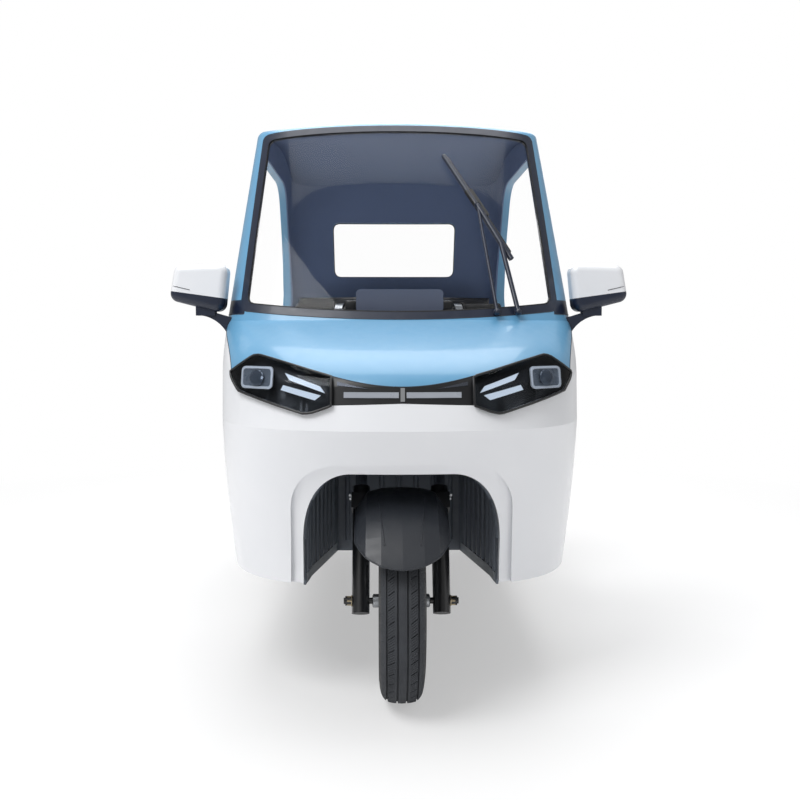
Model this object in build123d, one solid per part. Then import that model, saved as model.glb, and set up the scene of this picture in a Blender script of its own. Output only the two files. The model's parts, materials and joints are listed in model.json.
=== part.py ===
"""Roofed electric tricycle with one steered front wheel, a windscreen cab with open sides and a rear bench.

Millimetres, +Z up. The front faces -Y and +X is on the right of someone who looks at the front.
Everything is drawn about the front axle, with y counted rearwards from it and z from the ground, and is
then moved as a whole so that the origin lies on the ground under the middle of the vehicle.
"""
from build123d import *
import os
from math import cos, radians, sin, tan

os.makedirs("parts", exist_ok=True)

# ---- wheels and running gear -------------------------------------------------------------------
WHEELBASE = 1600.0
TYRE_R = 250.0
TYRE_WIDTH = 112.0
TYRE_TREAD_HALF = 26.0
TYRE_CROWN_DROP = 8.0
TYRE_SHOULDER = 18.0
TYRE_SHOULDER_DROP = 28.0
TYRE_WALL = 60.0
TYRE_WALL_R = TYRE_R - TYRE_WALL
TYRE_TUCK = 4.0
RIM_R = 128.0
RIM_WALL = 9.0
RIM_WIDTH = 84.0
HUB_R = 62.0
HUB_WIDTH = 88.0
SPOKE_COUNT = 5
SPOKE_WIDTH = 30.0
SPOKE_DEPTH = 22.0
REAR_WHEEL_X = 420.0
REAR_AXLE_R = 30.0
TUBE_TO_HUB = 24.0
REAR_AXLE_HALF = REAR_WHEEL_X - HUB_WIDTH / 2.0 - TUBE_TO_HUB
REAR_STUB_R = 14.0
GEARBOX_R = 92.0
GEARBOX_HALF = 70.0
MOTOR_R = 78.0
MOTOR_LENGTH = 170.0
MOTOR_RISE = 8.0
STUB_END = 8.0
RUNNING_CLEARANCE = 0.05

# ---- steering ----------------------------------------------------------------------------------
RAKE = 25.0
LEG_R = 22.5
TYRE_TO_LEG = 24.5
FORK_X = TYRE_WIDTH / 2.0 + TYRE_TO_LEG + LEG_R
LEG_FOOT = -32.0
LEG_TOP = 300.0
STANCHION_R = 15.5
YOKE_LOW = 392.0
YOKE_THICK = 22.0
YOKE_DEPTH = 58.0
YOKE_CORNER_R = 20.0
STEM_R = 18.0
STEM_TOP = 846.0
HEAD_LOW = 470.0
HEAD_TOP = 690.0
HEAD_R = 27.0
FRONT_AXLE_R = 8.0
AXLE_END = 43.0
FRONT_AXLE_HALF = FORK_X + AXLE_END
AXLE_NUT_R = 12.0
NUT_END = 39.0
AXLE_NUT_X = FORK_X + NUT_END
GUARD_CLAMP_LOW = 236.0
GUARD_CLAMP_TOP = 278.0
GUARD_CLAMP_HALF = 30.0
GUARD_CLAMP_HALF_X = 25.5
BAR_R = 11.0
BAR_CENTRE_HALF = 78.0
BAR_END_X = 292.0
BAR_SWEEP = 92.0
BAR_SETBACK = 30.0
BAR_RISE = 4.0
BAR_CLAMP_WIDTH = 62.0
BAR_CLAMP_DEPTH = 76.0
BAR_CLAMP_R = 14.0
BAR_CLAMP_DROP = 34.0
BAR_CLAMP_HEIGHT = 40.0
GRIP_R = 16.0
GRIP_LENGTH = 112.0
GRIP_END = 6.0
LEVER_LENGTH = 120.0
LEVER_STAND = 34.0
LEVER_DROP = 6.0
LEVER_R = 5.5
LEVER_ROOT_R = 7.5
PERCH_GAP = 22.0
PERCH_HALF = 12.0
PERCH_R = 18.0

# ---- front mudguard ----------------------------------------------------------------------------
GUARD_CLEARANCE = 38.0
GUARD_R = TYRE_R + GUARD_CLEARANCE
GUARD_WALL = 4.0
GUARD_OVER_LEG = 10.0
GUARD_HALF = FORK_X + GUARD_OVER_LEG
GUARD_CROWN_HALF = 50.0
GUARD_SHOULDER_HALF = 86.0
GUARD_SHOULDER_DROP = 12.0
GUARD_CREASE_DROP = 2.0
GUARD_SKIRT = 52.0
GUARD_FRONT_ANGLE = 29.0
GUARD_EDGE_LIFT = 142.0
GUARD_EDGE_Z = TYRE_R + GUARD_EDGE_LIFT
GUARD_EDGE_RISE = 118.0
GUARD_REAR_ANGLE = 126.0

# ---- body: heights and plan at each height -----------------------------------------------------
AXLE_TO_RAIL = 60.0
RAIL_LOW_Z = TYRE_R + AXLE_TO_RAIL
SKIRT_DROP = 5.0
FLOOR_Z = RAIL_LOW_Z - SKIRT_DROP
RIDGE_Z = 705.0
BAND_Z = 806.0
BASE_Z = 963.0
HEADER_Z = 1557.0
ROOF_RISE = 73.0
PEAK_Z = HEADER_Z + ROOF_RISE
NOSE_FLOOR = -75.0
NOSE_RIDGE = -222.0
NOSE_BAND = -192.0
NOSE_BASE = 150.0
NOSE_HEADER = 545.0
SCREEN_BULGE = 14.0
HALF_BASE = 493.0
FLOOR_NARROWING = 29.0
WAIST_NARROWING = 4.0
HEADER_NARROWING = 53.0
HALF_FLOOR = HALF_BASE - FLOOR_NARROWING
HALF_WAIST = HALF_BASE - WAIST_NARROWING
HALF_HEADER = HALF_BASE - HEADER_NARROWING
SIDE_START_LOW = 385.0
SIDE_START_BASE = 430.0
SIDE_START_HEADER = 725.0
AXLE_TO_TAIL_FLOOR = 330.0
AXLE_TO_TAIL = 385.0
TAIL_LEAN = 60.0
WINDOW_LEAN = 285.0
TAIL_FLOOR = WHEELBASE + AXLE_TO_TAIL_FLOOR
TAIL_WAIST = WHEELBASE + AXLE_TO_TAIL
TAIL_BASE = TAIL_WAIST - TAIL_LEAN
TAIL_HEADER = TAIL_BASE - WINDOW_LEAN
TAIL_CORNER = 170.0
NOSE_FULL_LOW = 0.75
NOSE_FULL_HIGH = 0.85
NOSE_KNEE = 0.72
RIDGE_SWEEP = 1.3
BONNET_SWEEP = 1.7
TAIL_FULL = 0.9
TAIL_KNEE = 0.15
CROWN_R = 3200.0
PEAK_Y = 1050.0
ROOF_REAR_DROP = 66.0
ROOF_FRONT_REACH = 595.0
ROOF_FRONT_FALL = 138.0
ROOF_REAR_REACH = 535.0
ROOF_END_DROP = 211.0
ROOF_EDGE_LOW_Z = 1400.0
HOLLOW_DROP = 40.0
BISECTIONS = 30
WALL = 30.0
ROOF_EDGE_R = 28.0
LINING = 5.0

# ---- splits and openings -----------------------------------------------------------------------
SIDE_SPLIT_Z = 820.0
TRIM_LIFT = 17.0
TRIM_HEIGHT = 40.0
TRIM_LOW_Z = BASE_Z + TRIM_LIFT
TRIM_TOP_Z = TRIM_LOW_Z + TRIM_HEIGHT
BONNET_EDGE = [(442.0, 878.0), (462.0, 910.0), (481.0, 935.0)]
BONNET_OVERLAP = 2.0
BONNET_HALF = HALF_BASE + BONNET_OVERLAP
ROOF_TO_SPLIT = 100.0
ROOF_SPLIT_Y = TAIL_HEADER - ROOF_TO_SPLIT
OPENING_FRONT = 465.0
KNEE_LIFT = 22.0
OPENING_KNEE_Z = BASE_Z + KNEE_LIFT
OPENING_TOP_FRONT = 712.0
RAIL_DEPTH = 71.0
OPENING_TOP_Z = HEADER_Z - RAIL_DEPTH
OPENING_TOP_REAR = WHEELBASE - 270.0
OPENING_PILLAR = (WHEELBASE + 40.0, 1270.0)
OPENING_WAIST = (WHEELBASE + 190.0, 1045.0)
OPENING_BELT_REAR = WHEELBASE + 175.0
OPENING_BELT_Z = 800.0
OPENING_BELT_FRONT = 1110.0
OPENING_STEP_REAR = 1000.0
SILL_OVERLAP = 40.0
REAR_BODY_Y = OPENING_STEP_REAR - SILL_OVERLAP
OPENING_TOP_R = 350.0
OPENING_PILLAR_R = 550.0
OPENING_WAIST_R = 220.0
OPENING_R = 60.0
ARCH_FOOT_Z = 200.0
ARCH_EASE = 4.0
ARCH_RISE = 0.7
ARCH_TOP_Z = 622.0
ARCH_MOUTH = (280.0, 270.0, 505.0, 140.0, ARCH_TOP_Z)
ARCH_LIP = (247.0, 243.0, 420.0, 120.0, 598.0)
LIP_SETBACK = 10.0
LIP_DEPTH = 26.0
WELL_START_Y = -300.0
WELL_MOUTH_Y = -40.0
WELL_MIDDLE_Y = 80.0
WELL_MIDDLE = (236.0, 233.0, 500.0, 140.0, 704.0)
WELL_BACK = (180.0, 176.0, 480.0, 120.0, 704.0)
WELL_WALL = 6.0
WELL_DROP = 13.0
WELL_FLOOR_Z = FLOOR_Z - WELL_DROP
TYRE_TO_ARCH = 50.0
TYRE_TO_LINER = 18.0
REAR_ARCH_R = TYRE_R + TYRE_TO_ARCH
REAR_LINER_INNER_X = REAR_WHEEL_X - TYRE_WIDTH / 2.0 - TYRE_TO_LINER
SCREEN_GAP = 0.3
SCREEN_GLASS = 6.0
SCREEN_SETBACK = 5.0
BAND_SIDE = 20.0
PILLAR_FOOT = 53.0
PILLAR_HEAD = 28.0
SCREEN_LIFT = 27.0
SCREEN_DROP = 26.0
TRIM_TO_SCREEN = 15.0
SCREEN_FOOT_HALF = HALF_BASE - PILLAR_FOOT
SCREEN_HEAD_HALF = HALF_HEADER - PILLAR_HEAD
SCREEN_FOOT_Z = BASE_Z + SCREEN_LIFT
SCREEN_HEAD_Z = HEADER_Z - SCREEN_DROP
TRIM_INNER_X = SCREEN_FOOT_HALF - TRIM_TO_SCREEN
SCREEN_FOOT_DIP = 25.0
SCREEN_HEAD_RISE = 20.0
SCREEN_R = 22.0
REAR_WINDOW_HALF = 259.0
WINDOW_LIFT = 202.0
WINDOW_HEIGHT = 222.0
REAR_WINDOW_LOW_Z = BASE_Z + WINDOW_LIFT
REAR_WINDOW_TOP_Z = REAR_WINDOW_LOW_Z + WINDOW_HEIGHT
REAR_WINDOW_R = 27.0

# ---- lamps -------------------------------------------------------------------------------------
POD_INNER_X = 165.0
POD_DEPTH = 60.0
LAMP_TIP = (427.0, 834.0)
LAMP_TIP_LOW = (421.0, 818.0)
LAMP_TOP = [(103.0, 816.0), (197.0, 838.0), (303.0, 866.0)]
LAMP_SHOULDER = [(350.0, 877.0), (366.0, 875.0)]
LAMP_LOW = [(399.0, 790.0), (229.0, 744.0), (207.0, 748.0)]
POD_LOW = (165.0, 763.0)
STRIP_LOW_Z = 768.0
STRIP_DEPTH = 40.0
TAIL_LAMP_LOW_Z = 640.0
TAIL_LAMP_TOP_Z = 790.0
TAIL_LAMP_INNER_X = 330.0
TAIL_LAMP_REACH = 130.0
LENS = 9.0

# ---- chassis, floor and furniture ---------------------------------------------------------------
RAIL_X = 250.0
RAIL_WIDTH = 40.0
RAIL_HEIGHT = 40.0
TAIL_TO_RAIL = 50.0
RAIL_REAR = TAIL_FLOOR - TAIL_TO_RAIL
DOWN_TUBE_TOP_Z = 745.0
CROSS_HALF = 425.0
DOWN_TUBE_R = 19.0
SHIELD_TO_TUBE = 49.0
TUBE_TO_WELL = 36.0
DOWN_TUBE_Y = OPENING_FRONT - SHIELD_TO_TUBE
WELL_BACK_Y = DOWN_TUBE_Y - TUBE_TO_WELL
FLOOR_PLATE = 12.0
SHIELD_THICK = 14.0
DASH_Z = 922.0
DASH_THICK = 14.0
STEM_HOLE_R = 34.0
CLUSTER_HALF = 119.0
CLUSTER_DEPTH = 30.0
CLUSTER_Y = 232.0
CLUSTER_LOW_Z = 985.0
CLUSTER_TOP_Z = 1048.0
CLUSTER_R = 12.0
SEAT_BOX_FRONT = 700.0
SEAT_BOX_REAR = 1070.0
SEAT_BOX_HALF = 235.0
SEAT_BOX_TOP_Z = 590.0
SEAT_BOX_WALL = 10.0
LID_INSET = 5.0
SEAT_HALF = SEAT_BOX_HALF - LID_INSET
SEAT_THICK = 90.0
SEAT_HINGE_R = 7.0
SEAT_PIN_R = 3.0
SEAT_KNUCKLE = 45.0
SEAT_BACK_GAP = 8.0
SEAT_HINGE_GAP = 4.0
SEAT_EDGE_R = 24.0
LEAF_OVERLAP = 10.0
LEAF_DROP = 40.0
KNUCKLE_GAP = 1.0
LID_THICK = 12.0
BATTERY_GAP = 35.0
BATTERY_HEADROOM = 30.0
BATTERY_HALF = SEAT_BOX_HALF - BATTERY_GAP
BATTERY_FRONT = SEAT_BOX_FRONT + BATTERY_GAP
BATTERY_REAR = SEAT_BOX_REAR - BATTERY_GAP
BATTERY_TOP_Z = SEAT_BOX_TOP_Z - BATTERY_HEADROOM
BACK_HALF = 185.0
BACK_LIFT = 140.0
BACK_HEIGHT = 280.0
BACK_LOW_Z = SEAT_BOX_TOP_Z + BACK_LIFT
BACK_TOP_Z = BACK_LOW_Z + BACK_HEIGHT
BACK_THICK = 60.0
BACK_POST_R = 12.0
BACK_POST_X = 110.0
POST_DROP = 60.0
BACK_POST_TOP_Z = BACK_TOP_Z - POST_DROP
BENCH_TO_AXLE = 350.0
BENCH_TO_LINER = 11.0
TUB_HEADROOM = 25.0
BENCH_FRONT = WHEELBASE - BENCH_TO_AXLE
BENCH_HALF = REAR_LINER_INNER_X - BENCH_TO_LINER
BENCH_TOP_Z = TYRE_R + REAR_ARCH_R + TUB_HEADROOM
BENCH_CUSHION_HALF = 410.0
BENCH_CUSHION = 95.0
BENCH_OVERHANG = 20.0
BENCH_BACK_TOP_Z = 1080.0
BENCH_BACK_THICK = 75.0
BENCH_DEPTH = 475.0
BENCH_REAR = BENCH_FRONT + BENCH_DEPTH
FIT = 0.3
FLOOR_REAR = RAIL_REAR
TUB_CLEARANCE = 4.0

# ---- springs, bumper, mirrors, wiper ------------------------------------------------------------
SPRING_HALF = 270.0
SPRING_WIDTH = 36.0
SPRING_THICK = 16.0
SPRING_CAMBER = 16.0
SPRING_SEAT = 3.0
HANGER = 30.0
BUMPER_R = 20.0
BUMPER_HALF = 350.0
BUMPER_STAND = 60.0
BUMPER_Y = TAIL_WAIST + BUMPER_STAND
BUMPER_Z = 420.0
BUMPER_BRACKET = 30.0
PLATE_HALF = 100.0
PLATE_LOW_Z = 450.0
PLATE_TOP_Z = 590.0
PLATE_THICK = 4.0
PLATE_STAND = 8.0
PLATE_FOOT_X = 38.0
PLATE_FOOT_HALF = 10.0
PLATE_MARGIN = 20.0
PLATE_HOLE_R = 3.5
PLATE_HOLE_X = 60.0
PLATE_HOLE_Z = 560.0
MIRROR_CORNERS = [(145.0, 1020.0), (128.0, 1117.0), (-20.0, 1121.0), (-5.0, 982.0)]
MIRROR_CORNER_R = 24.0
MIRROR_Y = 300.0
MIRROR_DEPTH = 62.0
MIRROR_ROUND = 20.0
MIRROR_SPLIT = [(-53.0, 1018.0), (187.0, 1051.0)]
MIRROR_NECK_X = (19.0, 72.0)
MIRROR_NECK_Z = (977.0, 1008.0)
MIRROR_NECK_HALF = 18.0
MIRROR_ARM_UNDER = [(68.0, 978.0), (30.0, 969.0), (-13.0, 928.0)]
MIRROR_ARM_OVER = [(-33.0, 920.0), (-33.0, 970.0), (24.0, 986.0), (68.0, 990.0)]
MIRROR_ARM_HALF = 13.0
WIPER_FROM_SIDE = 177.0
WIPER_X = HALF_BASE - WIPER_FROM_SIDE
WIPER_PIVOT = (WIPER_X, 985.0)
WIPER_BEND = (WIPER_X - 35.0, 1176.0)
WIPER_MOUNT = (WIPER_X - 94.0, 1288.0)
WIPER_LINK = (WIPER_X - 58.0, 985.0)
WIPER_TIP = (WIPER_X - 182.0, 1444.0)
WIPER_HEEL = (WIPER_X - 7.0, 1133.0)
WIPER_R = 6.5
WIPER_LINK_R = 4.5
BLADE_R = 8.0
WIPER_SPINDLE_R = 9.0
WIPER_STAND = 22.0
BLADE_STAND = 9.0

# ---- worked out --------------------------------------------------------------------------------
REAR_END = BUMPER_Y + BUMPER_R
SHIFT_Y = -(REAR_END - TYRE_R) / 2.0
FRONT_AXLE = (0.0, 0.0, TYRE_R)
FAR = HALF_BASE + 200.0
AHEAD = NOSE_RIDGE - 200.0
BEHIND = REAR_END + 200.0
ABOVE = PEAK_Z + 200.0
STEER_AXIS = (0.0, sin(radians(RAKE)), cos(radians(RAKE)))
FLOOR_TOP_Z = RAIL_LOW_Z + RAIL_HEIGHT + FLOOR_PLATE
OPENING_STEP_Z = FLOOR_TOP_Z
CROSS_MEMBERS = [
    (DOWN_TUBE_Y, RAIL_X), (640.0, CROSS_HALF), (930.0, CROSS_HALF), (BENCH_FRONT - 20.0, RAIL_X),
    (RAIL_REAR - 20.0, RAIL_X),
]


def save(name, shape):
    """Write one node, moved so that the origin lies under the middle of the vehicle."""
    export_step(Pos(0, SHIFT_Y, 0) * shape, f"parts/{name}.step")


def mirrored(shape):
    """A shape with its copy on the other side, as two solids of one node."""
    return Compound(children=[shape, mirror(shape, about=Plane.YZ)])


def box(x, y, z):
    """A block between two corners, given as a (low, high) pair along each axis."""
    size = [high - low for low, high in (x, y, z)]
    middle = [(low + high) / 2.0 for low, high in (x, y, z)]
    return Pos(*middle) * Box(*size)


def rod(start, end, radius):
    """A round bar from one point to another."""
    axis = Vector(*end) - Vector(*start)
    return Solid.make_cylinder(radius, axis.length, Plane(origin=start, z_dir=axis))


def steer_plane(along, x=0.0, back=0.0):
    """A plane across the steering axis, at a distance along it above the front axle."""
    y = along * STEER_AXIS[1] + back * STEER_AXIS[2]
    z = TYRE_R + along * STEER_AXIS[2] - back * STEER_AXIS[1]
    return Plane(origin=(x, y, z), x_dir=(1, 0, 0), z_dir=STEER_AXIS)


def front_plane(y):
    """The plane of the front view at one y, in which outlines are drawn as (x, z)."""
    return Plane(origin=(0, y, 0), x_dir=(1, 0, 0), z_dir=(0, -1, 0))


def side_plane(x):
    """The plane of the side view at one x, in which outlines are drawn as (y, z)."""
    return Plane(origin=(x, 0, 0), x_dir=(0, 1, 0), z_dir=(1, 0, 0))


def along_y(outline, y_range):
    """A prism along y of an outline drawn in the front view."""
    return extrude(front_plane(y_range[0]) * outline, amount=y_range[0] - y_range[1])


def front_prism(points, y_range, round_r=0.0):
    """A prism along y whose outline is drawn as (x, z) points."""
    outline = make_face(Polyline(*points, close=True))
    if round_r > 0.0:
        outline = fillet(outline.vertices(), round_r)
    return along_y(outline, y_range)


# ---- the closed form of the body ----------------------------------------------------------------
def mix(low, high, share):
    """The value at a share of the way from low to high."""
    return low + (high - low) * share


def station(z):
    """Nose, half width, start of the straight side, tail, and fullness of the nose at one height."""
    if z <= RIDGE_Z:
        share = max(0.0, (z - FLOOR_Z) / (RIDGE_Z - FLOOR_Z))
        swell = 1.0 - (1.0 - share) ** 2
        nose = mix(NOSE_FLOOR, NOSE_RIDGE, share ** RIDGE_SWEEP)
        half, tail = mix(HALF_FLOOR, HALF_WAIST, swell), mix(TAIL_FLOOR, TAIL_WAIST, swell)
        return nose, half, SIDE_START_LOW, tail, NOSE_FULL_LOW
    if z <= BAND_Z:
        share = (z - RIDGE_Z) / (BAND_Z - RIDGE_Z)
        return mix(NOSE_RIDGE, NOSE_BAND, share), HALF_WAIST, SIDE_START_LOW, TAIL_WAIST, NOSE_FULL_LOW
    if z <= BASE_Z:
        share = (z - BAND_Z) / (BASE_Z - BAND_Z)
        bend = share ** BONNET_SWEEP
        half, start = mix(HALF_WAIST, HALF_BASE, share), mix(SIDE_START_LOW, SIDE_START_BASE, share)
        nose, tail = mix(NOSE_BAND, NOSE_BASE, bend), mix(TAIL_WAIST, TAIL_BASE, bend)
        return nose, half, start, tail, mix(NOSE_FULL_LOW, NOSE_FULL_HIGH, share)
    share = (z - BASE_Z) / (HEADER_Z - BASE_Z)
    nose = mix(NOSE_BASE, NOSE_HEADER, share) - SCREEN_BULGE * 4.0 * share * (1.0 - share)
    half, start = mix(HALF_BASE, HALF_HEADER, share), mix(SIDE_START_BASE, SIDE_START_HEADER, share)
    return nose, half, start, mix(TAIL_BASE, TAIL_HEADER, share), NOSE_FULL_HIGH


def plan_wire(z, inset):
    """The outline of the body at one height, drawn in by an inset."""
    nose, half, start, tail, full = station(z)
    front, side, back = nose + inset, half - inset, tail - inset
    knee = start - NOSE_KNEE * (start - front)
    corner = back - TAIL_CORNER
    tail_knee = back - TAIL_KNEE * TAIL_CORNER

    def curve(*points):
        return Edge.make_bezier(*[Vector(x, y, z) for x, y in points])

    def line(first, second):
        return Edge.make_line(Vector(*first, z), Vector(*second, z))

    return Wire([
        curve((0, front), (full * side, front), (side, knee), (side, start)),
        line((side, start), (side, corner)),
        curve((side, corner), (side, tail_knee), (TAIL_FULL * side, back), (0, back)),
        curve((0, back), (-TAIL_FULL * side, back), (-side, tail_knee), (-side, corner)),
        line((-side, corner), (-side, start)),
        curve((-side, start), (-side, knee), (-full * side, front), (0, front)),
    ])


def front_y(x, z):
    """Where the outer surface of the nose or windscreen lies at one place of the front view."""
    nose, half, start, _tail, full = station(z)
    knee = start - NOSE_KNEE * (start - nose)
    low, high = 0.0, 1.0
    for _step in range(BISECTIONS):
        t = (low + high) / 2.0
        across = 3 * (1 - t) ** 2 * t * full * half + 3 * (1 - t) * t ** 2 * half + t ** 3 * half
        low, high = (t, high) if across < abs(x) else (low, t)
    return ((1 - t) ** 3 + 3 * (1 - t) ** 2 * t) * nose + 3 * (1 - t) * t ** 2 * knee + t ** 3 * start


def roof_wire(y, top):
    """One cross section of the space under the roof, with a crowned top."""
    side = top - CROWN_R + (CROWN_R ** 2 - FAR ** 2) ** 0.5
    return Wire([
        Edge.make_line((-FAR, y, SIDE_SPLIT_Z), (FAR, y, SIDE_SPLIT_Z)),
        Edge.make_line((FAR, y, SIDE_SPLIT_Z), (FAR, y, side)),
        Edge.make_three_point_arc((FAR, y, side), (0, y, top), (-FAR, y, side)),
        Edge.make_line((-FAR, y, side), (-FAR, y, SIDE_SPLIT_Z)),
    ])


def under_roof(inset):
    """The space under the crowned roof."""
    front, rear = NOSE_HEADER - ROOF_FRONT_REACH, TAIL_HEADER + ROOF_REAR_REACH
    stops = [
        (front, HEADER_Z - ROOF_FRONT_FALL),
        (NOSE_HEADER, HEADER_Z),
        (PEAK_Y, PEAK_Z),
        (TAIL_HEADER, PEAK_Z - ROOF_REAR_DROP),
        (rear, PEAK_Z - ROOF_END_DROP),
    ]
    return Solid.make_loft([roof_wire(y, top - inset) for y, top in stops])


def body_form(inset=0.0):
    """The closed form of the whole body, drawn in by an inset all round and open below if it is a hollow."""
    floor = [FLOOR_Z - HOLLOW_DROP, FLOOR_Z] if inset > 0.0 else [FLOOR_Z]
    bands = [
        floor + [mix(FLOOR_Z, RIDGE_Z, share) for share in (0.25, 0.5, 0.75, 1.0)],
        [RIDGE_Z, BAND_Z],
        [mix(BAND_Z, BASE_Z, share) for share in (0.0, 0.3, 0.6, 0.85, 1.0)],
        [mix(BASE_Z, HEADER_Z, share) for share in (0.0, 0.625, 1.25)],
    ]
    lofts = [Solid.make_loft([plan_wire(z, inset) for z in heights]) for heights in bands]
    upper = lofts[3] & under_roof(inset)
    if inset == 0.0:
        rim_edges = upper.edges().filter_by(lambda edge: edge.bounding_box().min.Z > ROOF_EDGE_LOW_Z)
        upper = fillet(rim_edges, ROOF_EDGE_R)
    return lofts[0] + lofts[1] + lofts[2] + upper


OUTER = body_form()
INNER = body_form(WALL)
SHELL = OUTER - INNER


# ---- outlines that split the shell --------------------------------------------------------------
def both_sides(edges, y_range):
    """A prism along y from the right half of an outline in the front view and its mirror image."""
    return along_y(make_face(edges + [mirror(edge, about=Plane.YZ) for edge in edges]), y_range)


def lamp_top():
    """The upper edge of the lamp band, from the middle to the tip."""
    brow = Spline((0.0, BAND_Z), *LAMP_TOP, LAMP_SHOULDER[0])
    return [brow, *Polyline(*LAMP_SHOULDER, LAMP_TIP).edges()]


def lamp_low():
    """The lower edge of one lamp, from the tip to the light strip."""
    return Polyline(LAMP_TIP_LOW, *LAMP_LOW, POD_LOW).edges()


def bonnet_side():
    """The edge of the bonnet from the tip of the lamp up to the trim."""
    return Spline(LAMP_TIP, *BONNET_EDGE, (BONNET_HALF, TRIM_LOW_Z))


def fairing_zone():
    """Everything in front of the cab opening, below the lamps and beside the bonnet."""
    below = [
        *Polyline((0.0, STRIP_LOW_Z), POD_LOW).edges(), *lamp_low(),
        *Polyline(LAMP_TIP_LOW, LAMP_TIP).edges(), bonnet_side(),
        *Polyline((BONNET_HALF, TRIM_LOW_Z), (FAR, TRIM_LOW_Z), (FAR, 0.0), (0.0, 0.0)).edges(),
    ]
    return both_sides(below, (AHEAD, OPENING_FRONT))


def lamp_zone():
    """The band of lamps across the nose."""
    tip = Polyline(LAMP_TIP, LAMP_TIP_LOW).edges()
    band = [*lamp_top(), *tip, *lamp_low(), *Polyline(POD_LOW, (0.0, STRIP_LOW_Z)).edges()]
    return both_sides(band, (AHEAD, SIDE_START_LOW))


def bonnet_zone():
    """Between the lamps and the foot of the windscreen."""
    over = Polyline((BONNET_HALF, TRIM_LOW_Z), (TRIM_INNER_X, TRIM_LOW_Z), (TRIM_INNER_X, SCREEN_FOOT_Z),
                    (0.0, SCREEN_FOOT_Z)).edges()
    return both_sides([*lamp_top(), bonnet_side(), *over], (AHEAD, OPENING_FRONT))


def screen_outline(shrink=0.0):
    """The windscreen with its dark band, in the front view, drawn in by a margin."""
    foot, head = SCREEN_FOOT_Z + shrink, SCREEN_HEAD_Z - shrink
    side_foot, side_head = SCREEN_FOOT_HALF - shrink, SCREEN_HEAD_HALF - shrink
    outline = make_face([
        ThreePointArc((-side_foot, foot), (0, foot - SCREEN_FOOT_DIP), (side_foot, foot)),
        Line((side_foot, foot), (side_head, head)),
        ThreePointArc((side_head, head), (0, head + SCREEN_HEAD_RISE), (-side_head, head)),
        Line((-side_head, head), (-side_foot, foot)),
    ])
    return fillet(outline.vertices(), SCREEN_R)


def screen_prism(shrink=0.0):
    """The windscreen outline as a prism through the front of the cab."""
    return along_y(screen_outline(shrink), (AHEAD, SIDE_START_HEADER))


def side_opening():
    """The way in, through both sides of the cab."""
    corners = [
        (OPENING_FRONT, OPENING_STEP_Z, OPENING_R), (OPENING_FRONT, OPENING_KNEE_Z, OPENING_R),
        (OPENING_TOP_FRONT, OPENING_TOP_Z, OPENING_R), (OPENING_TOP_REAR, OPENING_TOP_Z, OPENING_TOP_R),
        (*OPENING_PILLAR, OPENING_PILLAR_R), (*OPENING_WAIST, OPENING_WAIST_R),
        (OPENING_BELT_REAR, OPENING_BELT_Z, OPENING_R), (OPENING_BELT_FRONT, OPENING_BELT_Z, OPENING_R),
        (OPENING_STEP_REAR, OPENING_STEP_Z, OPENING_R),
    ]
    outline = make_face(Polyline(*[(y, z) for y, z, _radius in corners], close=True))
    for y, z, radius in corners:
        outline = fillet(outline.vertices().sort_by_distance((y, z, 0.0))[0], radius)
    return extrude(side_plane(-FAR) * outline, amount=2 * FAR)


def arch_face(outline, grow=0.0):
    """The outline of an arch in the front view: feet, nearly upright sides and a flat-topped curve."""
    foot, knee, knee_z, flat, top = outline
    foot, knee, flat, top = foot + grow, knee + grow, flat + grow, top + grow
    first, second = (knee - ARCH_EASE, mix(knee_z, top, ARCH_RISE)), ((flat + knee) / 2.0, top)
    edges = [
        Line((0, ARCH_FOOT_Z), (foot, ARCH_FOOT_Z)), Line((foot, ARCH_FOOT_Z), (knee, knee_z)),
        Bezier((knee, knee_z), first, second, (flat, top)), Line((flat, top), (0, top)),
    ]
    return make_face(edges + [mirror(edge, about=Plane.YZ) for edge in edges])


def arch_prism(outline, y_range):
    """An arch as a prism along y."""
    return along_y(arch_face(outline), y_range)


OPENING = side_opening()


# ---- body panels --------------------------------------------------------------------------------
def front_fairing():
    """White nose, leg shields and cheeks, with the set-back lip round the wheel arch."""
    skin = (SHELL & fairing_zone()) - arch_prism(ARCH_MOUTH, (AHEAD, OPENING_FRONT)) - OPENING
    lip_shell = body_form(LIP_SETBACK) - body_form(LIP_SETBACK + LIP_DEPTH)
    nose = (AHEAD, WELL_MIDDLE_Y)
    lip_zone = arch_prism(ARCH_MOUTH, nose) - arch_prism(ARCH_LIP, nose)
    floor = box((-FAR, FAR), (AHEAD, OPENING_FRONT), (FLOOR_Z, ARCH_TOP_Z))
    return skin + (lip_shell & lip_zone & floor)


def bonnet():
    """Blue panel between the lamps and the windscreen, as wide as the lamps."""
    return (SHELL & bonnet_zone()) - screen_prism() - OPENING


def windscreen_surround():
    """Dark band round the glass, with the corner trims that wrap onto the sides."""
    ring = screen_prism() - screen_prism(BAND_SIDE)
    ear = box((TRIM_INNER_X, FAR), (AHEAD, OPENING_FRONT + OPENING_R), (TRIM_LOW_Z, TRIM_TOP_Z))
    ears = ear + mirror(ear, about=Plane.YZ) - screen_prism()
    return (SHELL & (ring + ears)) - OPENING


def windscreen_glass():
    """Bowed laminated glass, set in the band."""
    pane = body_form(SCREEN_SETBACK) - body_form(SCREEN_SETBACK + SCREEN_GLASS)
    return pane & screen_prism(BAND_SIDE + SCREEN_GAP)


def roof_shell():
    """Blue roof with the two windscreen pillars and the side rails."""
    zone = box((-FAR, FAR), (AHEAD, ROOF_SPLIT_Y), (TRIM_TOP_Z, ABOVE))
    return ((OUTER - body_form(WALL - LINING)) & zone) - screen_prism() - OPENING


def rear_shell():
    """Blue back of the cab with the window cut in it."""
    zone = box((-FAR, FAR), (ROOF_SPLIT_Y, BEHIND), (SIDE_SPLIT_Z, ABOVE))
    return ((OUTER - body_form(WALL - LINING)) & zone) - OPENING - rear_window_prism()


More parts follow.
